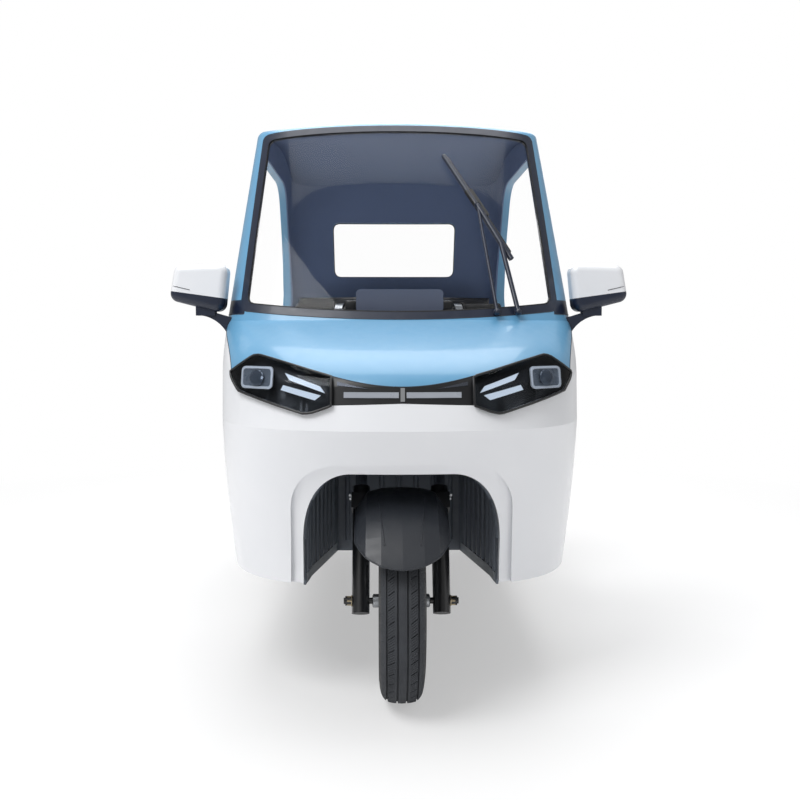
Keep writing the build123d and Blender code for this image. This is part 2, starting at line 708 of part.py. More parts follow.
def cab_lining():
    """Dark inner lining of the roof, pillars and back wall."""
    zone = box((-FAR, FAR), (AHEAD, BEHIND), (TRIM_TOP_Z, ABOVE))
    zone = zone + box((-FAR, FAR), (ROOF_SPLIT_Y, BEHIND), (SIDE_SPLIT_Z, ABOVE))
    lining = body_form(WALL - LINING) - INNER
    return (lining & zone) - screen_prism() - OPENING - rear_window_prism()


def rear_window_prism(shrink=0.0):
    """The rounded rear window as a prism through the back wall."""
    half = REAR_WINDOW_HALF - shrink
    low, high = REAR_WINDOW_LOW_Z + shrink, REAR_WINDOW_TOP_Z - shrink
    return front_prism([(-half, low), (half, low), (half, high), (-half, high)], (ROOF_SPLIT_Y, BEHIND),
                       REAR_WINDOW_R - shrink)


def rear_window():
    """Clear pane in the back wall."""
    pane = body_form(SCREEN_SETBACK) - body_form(SCREEN_SETBACK + SCREEN_GLASS)
    return pane & rear_window_prism(SCREEN_GAP)


def rear_lower_body():
    """White tail and rear side panels with the wheel arches."""
    zone = box((-FAR, FAR), (REAR_BODY_Y, BEHIND), (FLOOR_Z, SIDE_SPLIT_Z))
    arches = rod((-FAR, WHEELBASE, TYRE_R), (FAR, WHEELBASE, TYRE_R), REAR_ARCH_R)
    return (SHELL & zone) - OPENING - arches


def side_sills():
    """White sills under the way in, one each side."""
    zone = box((0, FAR), (OPENING_FRONT, REAR_BODY_Y), (FLOOR_Z, OPENING_STEP_Z + OPENING_R))
    return mirrored((SHELL & zone) - OPENING)


def rear_arch_liners():
    """Round tubs over the rear wheels, one each side."""
    outer = rod((REAR_LINER_INNER_X, WHEELBASE, TYRE_R), (FAR, WHEELBASE, TYRE_R), REAR_ARCH_R + WELL_WALL)
    inner = rod((REAR_LINER_INNER_X + WELL_WALL, WHEELBASE, TYRE_R), (FAR, WHEELBASE, TYRE_R), REAR_ARCH_R)
    above = box((0, FAR), (0, BEHIND), (RAIL_LOW_Z + RAIL_HEIGHT, ABOVE))
    return mirrored((outer - inner) & above & INNER)


def well_form(grow):
    """The tunnel that the front wheel steers in: straight behind the lip, then higher and narrowing."""
    stops = [
        (WELL_START_Y, ARCH_LIP), (WELL_MOUTH_Y, ARCH_LIP),
        (WELL_MIDDLE_Y, WELL_MIDDLE), (WELL_BACK_Y + grow, WELL_BACK),
    ]
    faces = [(front_plane(y) * arch_face(outline, grow)).face() for y, outline in stops]
    return Solid.make_loft([face.outer_wire() for face in faces], ruled=True)


def wheel_well_liner():
    """Dark moulded tunnel behind the arch, open in front and below, with a hole for the steering stem."""
    hole = extrude(steer_plane(YOKE_LOW + YOKE_THICK) * Circle(STEM_HOLE_R), amount=HEAD_TOP - YOKE_LOW)
    floor = box((-FAR, FAR), (AHEAD, OPENING_FRONT), (WELL_FLOOR_Z, ABOVE))
    behind_lip = body_form(LIP_SETBACK + LIP_DEPTH)
    return ((well_form(WELL_WALL) - well_form(0.0)) & floor & behind_lip) - hole


# ---- lamps --------------------------------------------------------------------------------------
def headlamps():
    """The two lamp pods, as thick lens bodies that stand a little proud of the nose."""
    zone = box((POD_INNER_X, FAR), (AHEAD, OPENING_FRONT), (RIDGE_Z, BASE_Z))
    return mirrored((body_form(-LENS) - body_form(POD_DEPTH)) & lamp_zone() & zone)


def lamp_strip():
    """The slim light strip between the pods."""
    body = (OUTER - body_form(STRIP_DEPTH)) & lamp_zone()
    return body & box((-POD_INNER_X, POD_INNER_X), (AHEAD, 0), (RIDGE_Z, BASE_Z))


def tail_lamps():
    """Raised lenses on the rear corners."""
    heights = (TAIL_LAMP_LOW_Z, TAIL_LAMP_TOP_Z)
    zone = box((TAIL_LAMP_INNER_X, FAR), (TAIL_WAIST - TAIL_LAMP_REACH, BEHIND), heights)
    return mirrored((body_form(-LENS) - OUTER) & zone)


# ---- chassis and running gear -------------------------------------------------------------------
def chassis_frame():
    """Welded frame: two rails, cross members, the down tube and the steering head."""
    heights = (RAIL_LOW_Z, RAIL_LOW_Z + RAIL_HEIGHT)
    half_rail = RAIL_WIDTH / 2.0
    rail = box((RAIL_X - half_rail, RAIL_X + half_rail), (DOWN_TUBE_Y - DOWN_TUBE_R, RAIL_REAR), heights)
    frame = rail + mirror(rail, about=Plane.YZ)
    for y, half in CROSS_MEMBERS:
        frame = frame + box((-half, half), (y - half_rail, y + half_rail), heights)
    knee = (0.0, DOWN_TUBE_Y, DOWN_TUBE_TOP_Z)
    middle = (HEAD_LOW + HEAD_TOP) / 2.0
    frame = frame + rod((0, DOWN_TUBE_Y, RAIL_LOW_Z), knee, DOWN_TUBE_R) + Pos(*knee) * Sphere(DOWN_TUBE_R)
    frame = frame + rod(knee, tuple(steer_plane(middle).origin), DOWN_TUBE_R)
    frame = frame + extrude(steer_plane(HEAD_LOW) * Circle(HEAD_R), amount=HEAD_TOP - HEAD_LOW)
    bore = extrude(steer_plane(YOKE_LOW) * Circle(STEM_R + RUNNING_CLEARANCE), amount=STEM_TOP - YOKE_LOW)
    return frame - bore


def rear_axle():
    """Rear axle tube with its gear case, motor and wheel stubs, and the leaf springs beside it."""
    y, z = WHEELBASE, TYRE_R
    axle = rod((-REAR_AXLE_HALF, y, z), (REAR_AXLE_HALF, y, z), REAR_AXLE_R)
    axle = axle + rod((-GEARBOX_HALF, y, z), (GEARBOX_HALF, y, z), GEARBOX_R)
    stub = REAR_WHEEL_X + HUB_WIDTH / 2.0 + STUB_END
    axle = axle + rod((-stub, y, z), (stub, y, z), REAR_STUB_R)
    motor_z = z + MOTOR_RISE
    axle = axle + rod((0, y - GEARBOX_R - MOTOR_LENGTH, motor_z), (0, y, motor_z), MOTOR_R)
    spring = leaf_spring()
    return axle + spring + mirror(spring, about=Plane.YZ)


def leaf_spring():
    """One leaf spring between rail and axle, with its hangers."""
    low = TYRE_R + REAR_AXLE_R - SPRING_SEAT
    ends = low + SPRING_CAMBER
    front, rear = WHEELBASE - SPRING_HALF, WHEELBASE + SPRING_HALF
    tips = ends + SPRING_THICK / 2.0
    outline = make_face([
        ThreePointArc((front, ends), (WHEELBASE, low), (rear, ends)),
        Line((rear, ends), (rear, tips)),
        ThreePointArc((rear, tips), (WHEELBASE, low + SPRING_THICK), (front, tips)),
        Line((front, tips), (front, ends)),
    ])
    inner, outer = RAIL_X - SPRING_WIDTH / 2, RAIL_X + SPRING_WIDTH / 2
    leaf = extrude(side_plane(inner) * outline, amount=SPRING_WIDTH)
    for y in (front, rear - HANGER):
        leaf = leaf + box((inner, outer), (y, y + HANGER), (ends, RAIL_LOW_Z))
    return leaf


def tyre():
    """Solid ring of rubber, drawn about the x axis."""
    half, bead = TYRE_WIDTH / 2.0, RIM_WIDTH / 2.0
    right = [
        (bead, RIM_R), (half, TYRE_WALL_R), (half - TYRE_TUCK, TYRE_R - TYRE_SHOULDER_DROP),
        (half - TYRE_SHOULDER, TYRE_R - TYRE_CROWN_DROP), (TYRE_TREAD_HALF, TYRE_R),
    ]
    outline = make_face(Polyline(*right, *[(-x, r) for x, r in reversed(right)], close=True))
    return revolve(outline, axis=Axis.X)


def rim(axle_r):
    """Cast wheel: barrel, spokes and hub, bored for its axle, drawn about the x axis."""
    half = RIM_WIDTH / 2.0
    barrel = rod((-half, 0, 0), (half, 0, 0), RIM_R) - rod((-half, 0, 0), (half, 0, 0), RIM_R - RIM_WALL)
    wheel = barrel + rod((-HUB_WIDTH / 2.0, 0, 0), (HUB_WIDTH / 2.0, 0, 0), HUB_R)
    reach = (HUB_R - RIM_WALL, RIM_R - RIM_WALL / 2.0)
    spoke = box((-SPOKE_DEPTH / 2, SPOKE_DEPTH / 2), (-SPOKE_WIDTH / 2, SPOKE_WIDTH / 2), reach)
    for number in range(SPOKE_COUNT):
        wheel = wheel + Rot(number * 360.0 / SPOKE_COUNT, 0, 0) * spoke
    return wheel - rod((-HUB_WIDTH, 0, 0), (HUB_WIDTH, 0, 0), axle_r + RUNNING_CLEARANCE)


# ---- steering -----------------------------------------------------------------------------------
def steering_stem():
    """The round stem from the yoke to the handlebar."""
    return extrude(steer_plane(YOKE_LOW) * Circle(STEM_R), amount=STEM_TOP - YOKE_LOW)


def fork_yoke():
    """Lower yoke with the stem that turns in the steering head."""
    plate = RectangleRounded(2 * (FORK_X + LEG_R), YOKE_DEPTH, YOKE_CORNER_R)
    return extrude(steer_plane(YOKE_LOW) * plate, amount=YOKE_THICK) + steering_stem()


def fork_stanchions():
    """Bright tubes between the yoke and the legs."""
    tube = extrude(steer_plane(LEG_TOP, FORK_X) * Circle(STANCHION_R), amount=YOKE_LOW - LEG_TOP)
    return mirrored(tube)


def guard_clamps():
    """The blocks on the legs that hold the mudguard."""
    block = Rectangle(2 * GUARD_CLAMP_HALF_X, 2 * GUARD_CLAMP_HALF)
    clamp = extrude(steer_plane(GUARD_CLAMP_LOW, FORK_X) * block, amount=GUARD_CLAMP_TOP - GUARD_CLAMP_LOW)
    return clamp + mirror(clamp, about=Plane.YZ)


def lower_legs():
    """The two round lower legs."""
    leg = extrude(steer_plane(LEG_FOOT, FORK_X) * Circle(LEG_R), amount=LEG_TOP - LEG_FOOT)
    return leg + mirror(leg, about=Plane.YZ)


def fork_legs():
    """Lower legs with the clamps for the mudguard, joined by the wheel axle and its nuts."""
    legs = lower_legs() + guard_clamps()
    legs = legs + rod((-FRONT_AXLE_HALF, 0, TYRE_R), (FRONT_AXLE_HALF, 0, TYRE_R), FRONT_AXLE_R)
    for side in (-1, 1):
        legs = legs + rod((side * FORK_X, 0, TYRE_R), (side * AXLE_NUT_X, 0, TYRE_R), AXLE_NUT_R)
    return legs


def front_mudguard():
    """Creased mudguard over the front wheel with a rounded front edge, let in at the fork legs."""
    skirt, shoulder = GUARD_R - GUARD_SKIRT, GUARD_R - GUARD_SHOULDER_DROP
    crease = GUARD_R - GUARD_CREASE_DROP
    outer = [(GUARD_CROWN_HALF, crease), (GUARD_SHOULDER_HALF, shoulder), (GUARD_HALF, skirt)]
    inner = [
        (GUARD_HALF - GUARD_WALL, skirt), (GUARD_SHOULDER_HALF - GUARD_WALL, shoulder - GUARD_WALL),
        (GUARD_CROWN_HALF, crease - GUARD_WALL),
    ]
    left = [(-x, r) for x, r in reversed(outer)]
    under_left = [(-x, r) for x, r in reversed(inner)]
    points = [(0.0, GUARD_R), *outer, *inner, (0.0, GUARD_R - GUARD_WALL), *under_left, *left]
    outline = front_plane(0.0) * make_face(Polyline(*points, close=True))
    # The outline stands in the plane above the axle and is swept from the rear edge to the front edge.
    band = revolve(outline, axis=Axis.X, revolution_arc=GUARD_REAR_ANGLE - GUARD_FRONT_ANGLE)
    band = Pos(*FRONT_AXLE) * Rot(90.0 - GUARD_REAR_ANGLE, 0, 0) * band
    reach, end_z = GUARD_HALF + GUARD_SKIRT, GUARD_EDGE_Z + GUARD_EDGE_RISE
    edge = ThreePointArc((-reach, end_z), (0, GUARD_EDGE_Z), (reach, end_z))
    below = make_face([edge, *Polyline((reach, end_z), (reach, 0), (-reach, 0), (-reach, end_z)).edges()])
    return band - along_y(below, (AHEAD, 0.0)) - lower_legs() - guard_clamps()


def bar_points():
    """Bend and end of the handlebar on its right side."""
    middle = steer_plane(STEM_TOP - BAR_R, 0.0, BAR_SETBACK).origin
    bend = Vector(BAR_CENTRE_HALF, middle.Y, middle.Z)
    return bend, Vector(BAR_END_X, middle.Y + BAR_SWEEP, middle.Z + BAR_RISE)


def handlebar():
    """Swept-back bar with the clamp that holds it on the stem."""
    bend, end = bar_points()
    half = rod((0, bend.Y, bend.Z), bend, BAR_R) + Pos(*bend) * Sphere(BAR_R) + rod(bend, end, BAR_R)
    block = RectangleRounded(BAR_CLAMP_WIDTH, BAR_CLAMP_DEPTH, BAR_CLAMP_R)
    under = steer_plane(STEM_TOP - BAR_CLAMP_DROP, 0.0, BAR_SETBACK / 2.0)
    clamp = extrude(under * block, amount=BAR_CLAMP_HEIGHT)
    return half + mirror(half, about=Plane.YZ) + clamp - steering_stem()


def handlebar_grips():
    """Rubber grips over the ends of the bar."""
    bend, end = bar_points()
    run = (end - bend).normalized()
    return mirrored(rod(end - run * GRIP_LENGTH, end + run * GRIP_END, GRIP_R) - rod(bend, end, BAR_R))


def brake_levers():
    """Brake levers in front of the grips, with their perches on the bar."""
    bend, end = bar_points()
    run = (end - bend).normalized()
    root = end - run * (GRIP_LENGTH + PERCH_GAP)
    perch = rod(root - run * PERCH_HALF, root + run * PERCH_HALF, PERCH_R)
    knuckle = root + Vector(0, -LEVER_STAND, -LEVER_DROP)
    tip = knuckle + run * LEVER_LENGTH + Vector(0, -LEVER_DROP, 0)
    arm = rod(root, knuckle, LEVER_ROOT_R) + Pos(*knuckle) * Sphere(LEVER_ROOT_R) + rod(knuckle, tip, LEVER_R)
    return mirrored(perch + arm + Pos(*tip) * Sphere(LEVER_ROOT_R) - rod(bend, end, BAR_R))


# ---- inside the cab -----------------------------------------------------------------------------
def floor_pan():
    """Flat floor from the leg shield to the tail, let in round the rear wheels."""
    thickness = (FLOOR_TOP_Z - FLOOR_PLATE, FLOOR_TOP_Z)
    plate = box((-FAR, FAR), (OPENING_FRONT - SHIELD_THICK, FLOOR_REAR), thickness)
    tub_front = WHEELBASE - REAR_ARCH_R - WELL_WALL - TUB_CLEARANCE
    tub = box((REAR_LINER_INNER_X - TUB_CLEARANCE, FAR), (tub_front, BEHIND), (FLOOR_Z, BASE_Z))
    return (INNER & plate) - tub - mirror(tub, about=Plane.YZ)


def dashboard():
    """Leg shield and dash shelf that close the nose off from the cab."""
    shield = box((-FAR, FAR), (OPENING_FRONT - SHIELD_THICK, OPENING_FRONT), (FLOOR_TOP_Z, DASH_Z))
    shelf = box((-FAR, FAR), (AHEAD, OPENING_FRONT), (DASH_Z, DASH_Z + DASH_THICK))
    hole = extrude(steer_plane(HEAD_TOP) * Circle(STEM_HOLE_R), amount=STEM_TOP - HEAD_TOP)
    return (INNER & (shield + shelf)) - hole


def instrument_cluster():
    """Wide low display on the dash behind the windscreen."""
    depth = (CLUSTER_Y, CLUSTER_Y + CLUSTER_DEPTH)
    slab = box((-CLUSTER_HALF, CLUSTER_HALF), depth, (CLUSTER_LOW_Z, CLUSTER_TOP_Z))
    foot = box((-CLUSTER_HALF / 2, CLUSTER_HALF / 2), depth, (DASH_Z + DASH_THICK, CLUSTER_LOW_Z + CLUSTER_R))
    return fillet(slab.edges().filter_by(Axis.Y), CLUSTER_R) + foot


def seat_hinge():
    """The axis of the seat's hinge, as (y, z)."""
    return SEAT_BOX_FRONT - SEAT_HINGE_R - SEAT_HINGE_GAP, SEAT_BOX_TOP_Z + SEAT_HINGE_R


def seat_rear():
    """The rear edge of the part of the seat that tilts."""
    return SEAT_BOX_REAR - BACK_THICK - SEAT_BACK_GAP


def hinge_knuckle(x_low, x_high):
    """One barrel of the seat's hinge with no bore."""
    y, z = seat_hinge()
    return rod((x_low, y, z), (x_high, y, z), SEAT_HINGE_R)


def seat_box():
    """Box under the driver's seat for the battery, with hinge knuckles, a rear deck and backrest posts."""
    wall, half = SEAT_BOX_WALL, SEAT_BOX_HALF
    outer = box((-half, half), (SEAT_BOX_FRONT, SEAT_BOX_REAR), (FLOOR_TOP_Z, SEAT_BOX_TOP_Z))
    hollow = box((-half + wall, half - wall), (SEAT_BOX_FRONT + wall, SEAT_BOX_REAR - wall),
                 (FLOOR_TOP_Z + wall, SEAT_BOX_TOP_Z + wall))
    deck_depth = (seat_rear() + KNUCKLE_GAP, SEAT_BOX_REAR)
    deck = box((-half, half), deck_depth, (SEAT_BOX_TOP_Z - wall, SEAT_BOX_TOP_Z))
    y, z = seat_hinge()
    x_low, x_high = SEAT_KNUCKLE + KNUCKLE_GAP, 2 * SEAT_KNUCKLE
    leaf = box((x_low, x_high), (y - SEAT_HINGE_R, SEAT_BOX_FRONT), (z - LEAF_DROP, z - SEAT_PIN_R))
    knuckle = hinge_knuckle(x_low, x_high) + leaf
    knuckle = knuckle - rod((0, y, z), (x_high + SEAT_KNUCKLE, y, z), SEAT_PIN_R + RUNNING_CLEARANCE)
    post_y = SEAT_BOX_REAR + BACK_POST_R / 2.0
    post = rod((BACK_POST_X, post_y, FLOOR_TOP_Z), (BACK_POST_X, post_y, BACK_POST_TOP_Z), BACK_POST_R)
    posts = post - driver_backrest()
    right = knuckle + posts
    return (outer - hollow) + deck + right + mirror(right, about=Plane.YZ)


def battery_pack():
    """Plain block of traction batteries in the seat box."""
    low = FLOOR_TOP_Z + SEAT_BOX_WALL
    return box((-BATTERY_HALF, BATTERY_HALF), (BATTERY_FRONT, BATTERY_REAR), (low, BATTERY_TOP_Z))


def seat_lid():
    """Tilting base plate of the driver's seat with the middle knuckle and pin of its hinge."""
    low = SEAT_BOX_TOP_Z + FIT
    y, z = seat_hinge()
    plate = box((-SEAT_HALF, SEAT_HALF), (SEAT_BOX_FRONT, seat_rear()), (low, low + LID_THICK))
    leaf = box((-SEAT_KNUCKLE, SEAT_KNUCKLE), (y, SEAT_BOX_FRONT + LEAF_OVERLAP), (z, low + LID_THICK))
    pin = rod((-2 * SEAT_KNUCKLE, y, z), (2 * SEAT_KNUCKLE, y, z), SEAT_PIN_R)
    return plate + leaf + hinge_knuckle(-SEAT_KNUCKLE, SEAT_KNUCKLE) + pin


def driver_cushion():
    """Soft cushion of the driver's seat."""
    low = SEAT_BOX_TOP_Z + FIT + LID_THICK
    half = SEAT_HALF - SEAT_BACK_GAP / 2.0
    depth = (SEAT_BOX_FRONT + LEAF_OVERLAP, seat_rear() - SEAT_BACK_GAP / 2.0)
    slab = box((-half, half), depth, (low, low + SEAT_THICK))
    return fillet(slab.edges().group_by(Axis.Z)[-1], SEAT_EDGE_R)


def driver_backrest():
    """Soft backrest of the driver's seat."""
    slab = box((-BACK_HALF, BACK_HALF), (SEAT_BOX_REAR - BACK_THICK, SEAT_BOX_REAR), (BACK_LOW_Z, BACK_TOP_Z))
    return fillet(slab.edges().group_by(Axis.Y)[0], SEAT_EDGE_R)


def bench_box():
    """Base of the rear bench between the wheel tubs."""
    wall = SEAT_BOX_WALL
    outer = box((-BENCH_HALF, BENCH_HALF), (BENCH_FRONT, BENCH_REAR), (FLOOR_TOP_Z, BENCH_TOP_Z))
    hollow = box((-BENCH_HALF + wall, BENCH_HALF - wall), (BENCH_FRONT + wall, BENCH_REAR - wall),
                 (FLOOR_TOP_Z + wall, BENCH_TOP_Z - wall))
    return outer - hollow


def bench_cushions():
    """Soft seat and back of the rear bench, as two solids."""
    low = BENCH_TOP_Z + FIT
    split = BENCH_REAR - BENCH_BACK_THICK
    across = (-BENCH_CUSHION_HALF, BENCH_CUSHION_HALF)
    seat = box(across, (BENCH_FRONT - BENCH_OVERHANG, split - FIT), (low, low + BENCH_CUSHION))
    back = box(across, (split, BENCH_REAR), (low, BENCH_BACK_TOP_Z))
    seat = fillet(seat.edges().group_by(Axis.Z)[-1], SEAT_EDGE_R)
    back = fillet(back.edges().group_by(Axis.Y)[0], SEAT_EDGE_R)
    return Compound(children=[seat, back])


# ---- outside fittings ---------------------------------------------------------------------------
def rear_bumper():
    """Round bumper bar on two brackets."""
    bar = rod((-BUMPER_HALF, BUMPER_Y, BUMPER_Z), (BUMPER_HALF, BUMPER_Y, BUMPER_Z), BUMPER_R)
    half = BUMPER_BRACKET / 2.0
    for side in (-1, 1):
        x = side * RAIL_X
        bar = bar + box((x - half, x + half), (RAIL_REAR, BUMPER_Y), (BUMPER_Z - half, BUMPER_Z + half))
        bar = bar + Pos(side * BUMPER_HALF, BUMPER_Y, BUMPER_Z) * Sphere(BUMPER_R)
    return bar - OUTER


def plate_bracket():
    """Blank number plate bracket on the tail, with two screw holes."""
    rear = TAIL_WAIST + PLATE_STAND
    plate = box((-PLATE_HALF, PLATE_HALF), (rear - PLATE_THICK, rear), (PLATE_LOW_Z, PLATE_TOP_Z))
    for x in (-PLATE_FOOT_X, PLATE_FOOT_X):
        foot = box((x - PLATE_FOOT_HALF, x + PLATE_FOOT_HALF), (RAIL_REAR, rear - PLATE_THICK),
                   (PLATE_LOW_Z + PLATE_MARGIN, PLATE_TOP_Z - PLATE_MARGIN))
        plate = plate + foot
    plate = plate - OUTER
    for x in (-PLATE_HOLE_X, PLATE_HOLE_X):
        plate = plate - rod((x, RAIL_REAR, PLATE_HOLE_Z), (x, BEHIND, PLATE_HOLE_Z), PLATE_HOLE_R)
    return plate


def mirror_head():
    """The right-hand mirror's rounded head, drawn from the side of the body."""
    depth = (MIRROR_Y - MIRROR_DEPTH / 2, MIRROR_Y + MIRROR_DEPTH / 2)
    head = front_prism(MIRROR_CORNERS, depth, MIRROR_CORNER_R)
    return fillet(head.edges().group_by(Axis.Y)[0], MIRROR_ROUND)


def below_split():
    """The space under the sloping line where the cap of a mirror meets its base."""
    (inner, inner_z), (outer, outer_z) = MIRROR_SPLIT
    corners = [(inner, inner_z), (outer, outer_z), (outer, BAND_Z), (inner, BAND_Z)]
    return front_prism(corners, (0.0, OPENING_FRONT))


def mirror_caps():
    """White caps of the two mirrors."""
    return mirrored(Pos(HALF_BASE, 0, 0) * (mirror_head() - below_split()))


def mirror_arms():
    """Black bases of the two mirrors with their necks and curved arms."""
    neck = box(MIRROR_NECK_X, (MIRROR_Y - MIRROR_NECK_HALF, MIRROR_Y + MIRROR_NECK_HALF), MIRROR_NECK_Z)
    under, over = MIRROR_ARM_UNDER, MIRROR_ARM_OVER
    outline = make_face([ThreePointArc(*under), *Polyline(under[-1], *over, under[0]).edges()])
    arm = along_y(outline, (MIRROR_Y - MIRROR_ARM_HALF, MIRROR_Y + MIRROR_ARM_HALF))
    base = (mirror_head() & below_split()) + neck + arm
    return mirrored(Pos(HALF_BASE, 0, 0) * base - OUTER)


def screen_point(place, stand):
    """A point that stands off the windscreen at one place of the front view."""
    x, z = place
    return x, front_y(x, z) - stand, z


def bent_rod(points, radius):
    """A round rod through several points."""
    rods = [rod(first, second, radius) for first, second in zip(points, points[1:])]
    return sum(rods[1:], rods[0]) + [Pos(*point) * Sphere(radius) for point in points[1:]]


def wiper():
    """Wiper arm and its thin link on their pivots, with the blade on the glass."""
    places = (WIPER_PIVOT, WIPER_BEND, WIPER_MOUNT)
    pivot, bend, mount = [screen_point(place, WIPER_STAND) for place in places]
    arm = bent_rod([pivot, bend, mount], WIPER_R)
    arm = arm + rod(screen_point(WIPER_LINK, WIPER_STAND), mount, WIPER_LINK_R)
    for place in (WIPER_PIVOT, WIPER_LINK):
        top = screen_point(place, WIPER_STAND)
        arm = arm + rod(screen_point(place, -WALL / 2.0), top, WIPER_SPINDLE_R)
        arm = arm + Pos(*top) * Sphere(WIPER_SPINDLE_R)
    middle = [(a + b) / 2.0 for a, b in zip(WIPER_HEEL, WIPER_TIP)]
    blade = bent_rod([screen_point(place, BLADE_STAND) for place in (WIPER_HEEL, middle, WIPER_TIP)], BLADE_R)
    return arm + rod(mount, screen_point(middle, BLADE_STAND), WIPER_SPINDLE_R) + blade - OUTER


# ---- assembly -----------------------------------------------------------------------------------
def main():
    """Build and write every node."""
    save("front_fairing", front_fairing())
    save("bonnet", bonnet())
    save("windscreen_surround", windscreen_surround())
    save("windscreen_glass", windscreen_glass())
    save("roof_shell", roof_shell())
    save("cab_lining", cab_lining())
    save("rear_shell", rear_shell())
    save("rear_window", rear_window())
    save("rear_lower_body", rear_lower_body())
    save("side_sills", side_sills())
    save("rear_arch_liners", rear_arch_liners())
    save("wheel_well_liner", wheel_well_liner())
    save("headlamps", headlamps())
    save("lamp_strip", lamp_strip())
    save("tail_lamps", tail_lamps())
    save("chassis_frame", chassis_frame())
    save("rear_axle", rear_axle())
    save("floor_pan", floor_pan())
    save("dashboard", dashboard())
    save("instrument_cluster", instrument_cluster())
    save("seat_box", seat_box())
    save("battery_pack", battery_pack())
    save("driver_backrest", driver_backrest())
    save("bench_box", bench_box())
    save("bench_cushions", bench_cushions())
    save("rear_bumper", rear_bumper())
    save("plate_bracket", plate_bracket())
    save("wiper", wiper())
    save("mirror_caps", mirror_caps())
    save("mirror_arms", mirror_arms())
    save("seat_lid", seat_lid())
    save("driver_cushion", driver_cushion())
    save("fork_yoke", fork_yoke())
    save("fork_stanchions", fork_stanchions())
    save("fork_legs", fork_legs())
    save("front_mudguard", front_mudguard())
    save("handlebar", handlebar())
    save("handlebar_grips", handlebar_grips())
    save("brake_levers", brake_levers())
    save("front_tyre", Pos(*FRONT_AXLE) * tyre())
    save("front_rim", Pos(*FRONT_AXLE) * rim(FRONT_AXLE_R))
    for name, x in (("left", -REAR_WHEEL_X), ("right", REAR_WHEEL_X)):
        save(f"rear_tyre_{name}", Pos(x, WHEELBASE, TYRE_R) * tyre())
        save(f"rear_rim_{name}", Pos(x, WHEELBASE, TYRE_R) * rim(REAR_STUB_R))


main()
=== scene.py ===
import json
import logging
import math
import random
from dataclasses import dataclass, field
from enum import Enum
from typing import Callable, Iterable, Sequence

import bmesh
import bpy
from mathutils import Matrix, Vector
from mathutils.bvhtree import BVHTree

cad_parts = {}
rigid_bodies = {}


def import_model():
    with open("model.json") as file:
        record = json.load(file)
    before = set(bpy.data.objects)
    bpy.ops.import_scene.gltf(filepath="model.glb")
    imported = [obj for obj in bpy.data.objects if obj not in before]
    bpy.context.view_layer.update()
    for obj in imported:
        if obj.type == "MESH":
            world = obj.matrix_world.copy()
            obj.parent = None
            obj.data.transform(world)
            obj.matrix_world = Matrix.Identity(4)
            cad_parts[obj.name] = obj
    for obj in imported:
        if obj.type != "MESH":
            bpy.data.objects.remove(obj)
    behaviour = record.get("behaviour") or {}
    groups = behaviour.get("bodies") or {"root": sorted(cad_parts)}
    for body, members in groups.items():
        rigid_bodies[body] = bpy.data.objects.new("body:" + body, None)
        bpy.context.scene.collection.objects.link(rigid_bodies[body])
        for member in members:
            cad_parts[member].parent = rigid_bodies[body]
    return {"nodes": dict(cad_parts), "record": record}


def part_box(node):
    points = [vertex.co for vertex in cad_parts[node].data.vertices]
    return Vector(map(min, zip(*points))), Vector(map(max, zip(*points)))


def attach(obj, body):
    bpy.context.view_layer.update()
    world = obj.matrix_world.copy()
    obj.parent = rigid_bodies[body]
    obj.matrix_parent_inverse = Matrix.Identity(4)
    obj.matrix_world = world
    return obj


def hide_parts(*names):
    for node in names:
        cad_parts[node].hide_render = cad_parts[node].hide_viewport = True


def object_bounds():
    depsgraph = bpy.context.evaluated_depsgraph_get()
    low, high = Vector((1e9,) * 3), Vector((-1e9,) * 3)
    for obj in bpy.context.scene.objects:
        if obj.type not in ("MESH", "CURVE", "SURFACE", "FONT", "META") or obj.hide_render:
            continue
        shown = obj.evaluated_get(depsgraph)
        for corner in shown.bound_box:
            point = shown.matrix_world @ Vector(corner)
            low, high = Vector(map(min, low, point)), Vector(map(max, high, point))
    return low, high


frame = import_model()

logging.basicConfig(level=logging.INFO, format="%(message)s")
LOG = logging.getLogger("tricycle")
SEED = 7
MM = 0.001
WELD = 0.01 * MM
CAD_WELD = 0.02 * MM
REST_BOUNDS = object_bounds()
Point = Sequence[float]
Outline = Sequence[tuple[float, float]]
Cut = tuple[Point, Point]
Thing = bpy.types.Object
Pieces = list[Thing]
Lines = list[list[Vector]]
Socket = bpy.types.NodeSocket
TO_RIGHT, TO_BACK, TO_TOP = Vector((1.0, 0.0, 0.0)), Vector((0.0, 1.0, 0.0)), Vector((0.0, 0.0, 1.0))
TO_FRONT = -TO_BACK
SIDES = (-1.0, 1.0)


# ---- materials ----------------------------------------------------------------------------------
class Grain(Enum):
    """The fine surface relief of a finish."""

    SMOOTH = "smooth"
    ORANGE_PEEL = "orange_peel"
    PEBBLE = "pebble"
    CAST = "cast"
    BRUSHED = "brushed"
    RIBBED = "ribbed"


@dataclass(frozen=True)
class Finish:
    """One real material, its colour and how it was made."""

    name: str
    hex_code: str
    shade: str
    rough: float = 0.5
    spread: float = 0.06
    metal: float = 0.0
    coat: float = 0.0
    grain: Grain = Grain.SMOOTH
    grain_mm: float = 2.0
    relief_mm: float = 0.05
    mottle_mm: float = 180.0
    glow: float = 0.0


class Slots(str, Enum):
    """The record's material slots."""

    WHITE = "white_panel"
    BLUE = "blue_panel"
    TRIM = "black_trim"
    LINING = "lining"
    PLASTIC = "dark_plastic"
    LENS = "lamp_lens"
    RED = "red_lens"
    STEEL = "frame_steel"
    FORK = "fork_black"
    GUARD = "mudguard"
    CHROME = "chrome"
    ALLOY = "alloy"
    RUBBER = "rubber"
    TYRE = "tyre"
    LEATHER = "seat_leather"
    GLASS = "glass"


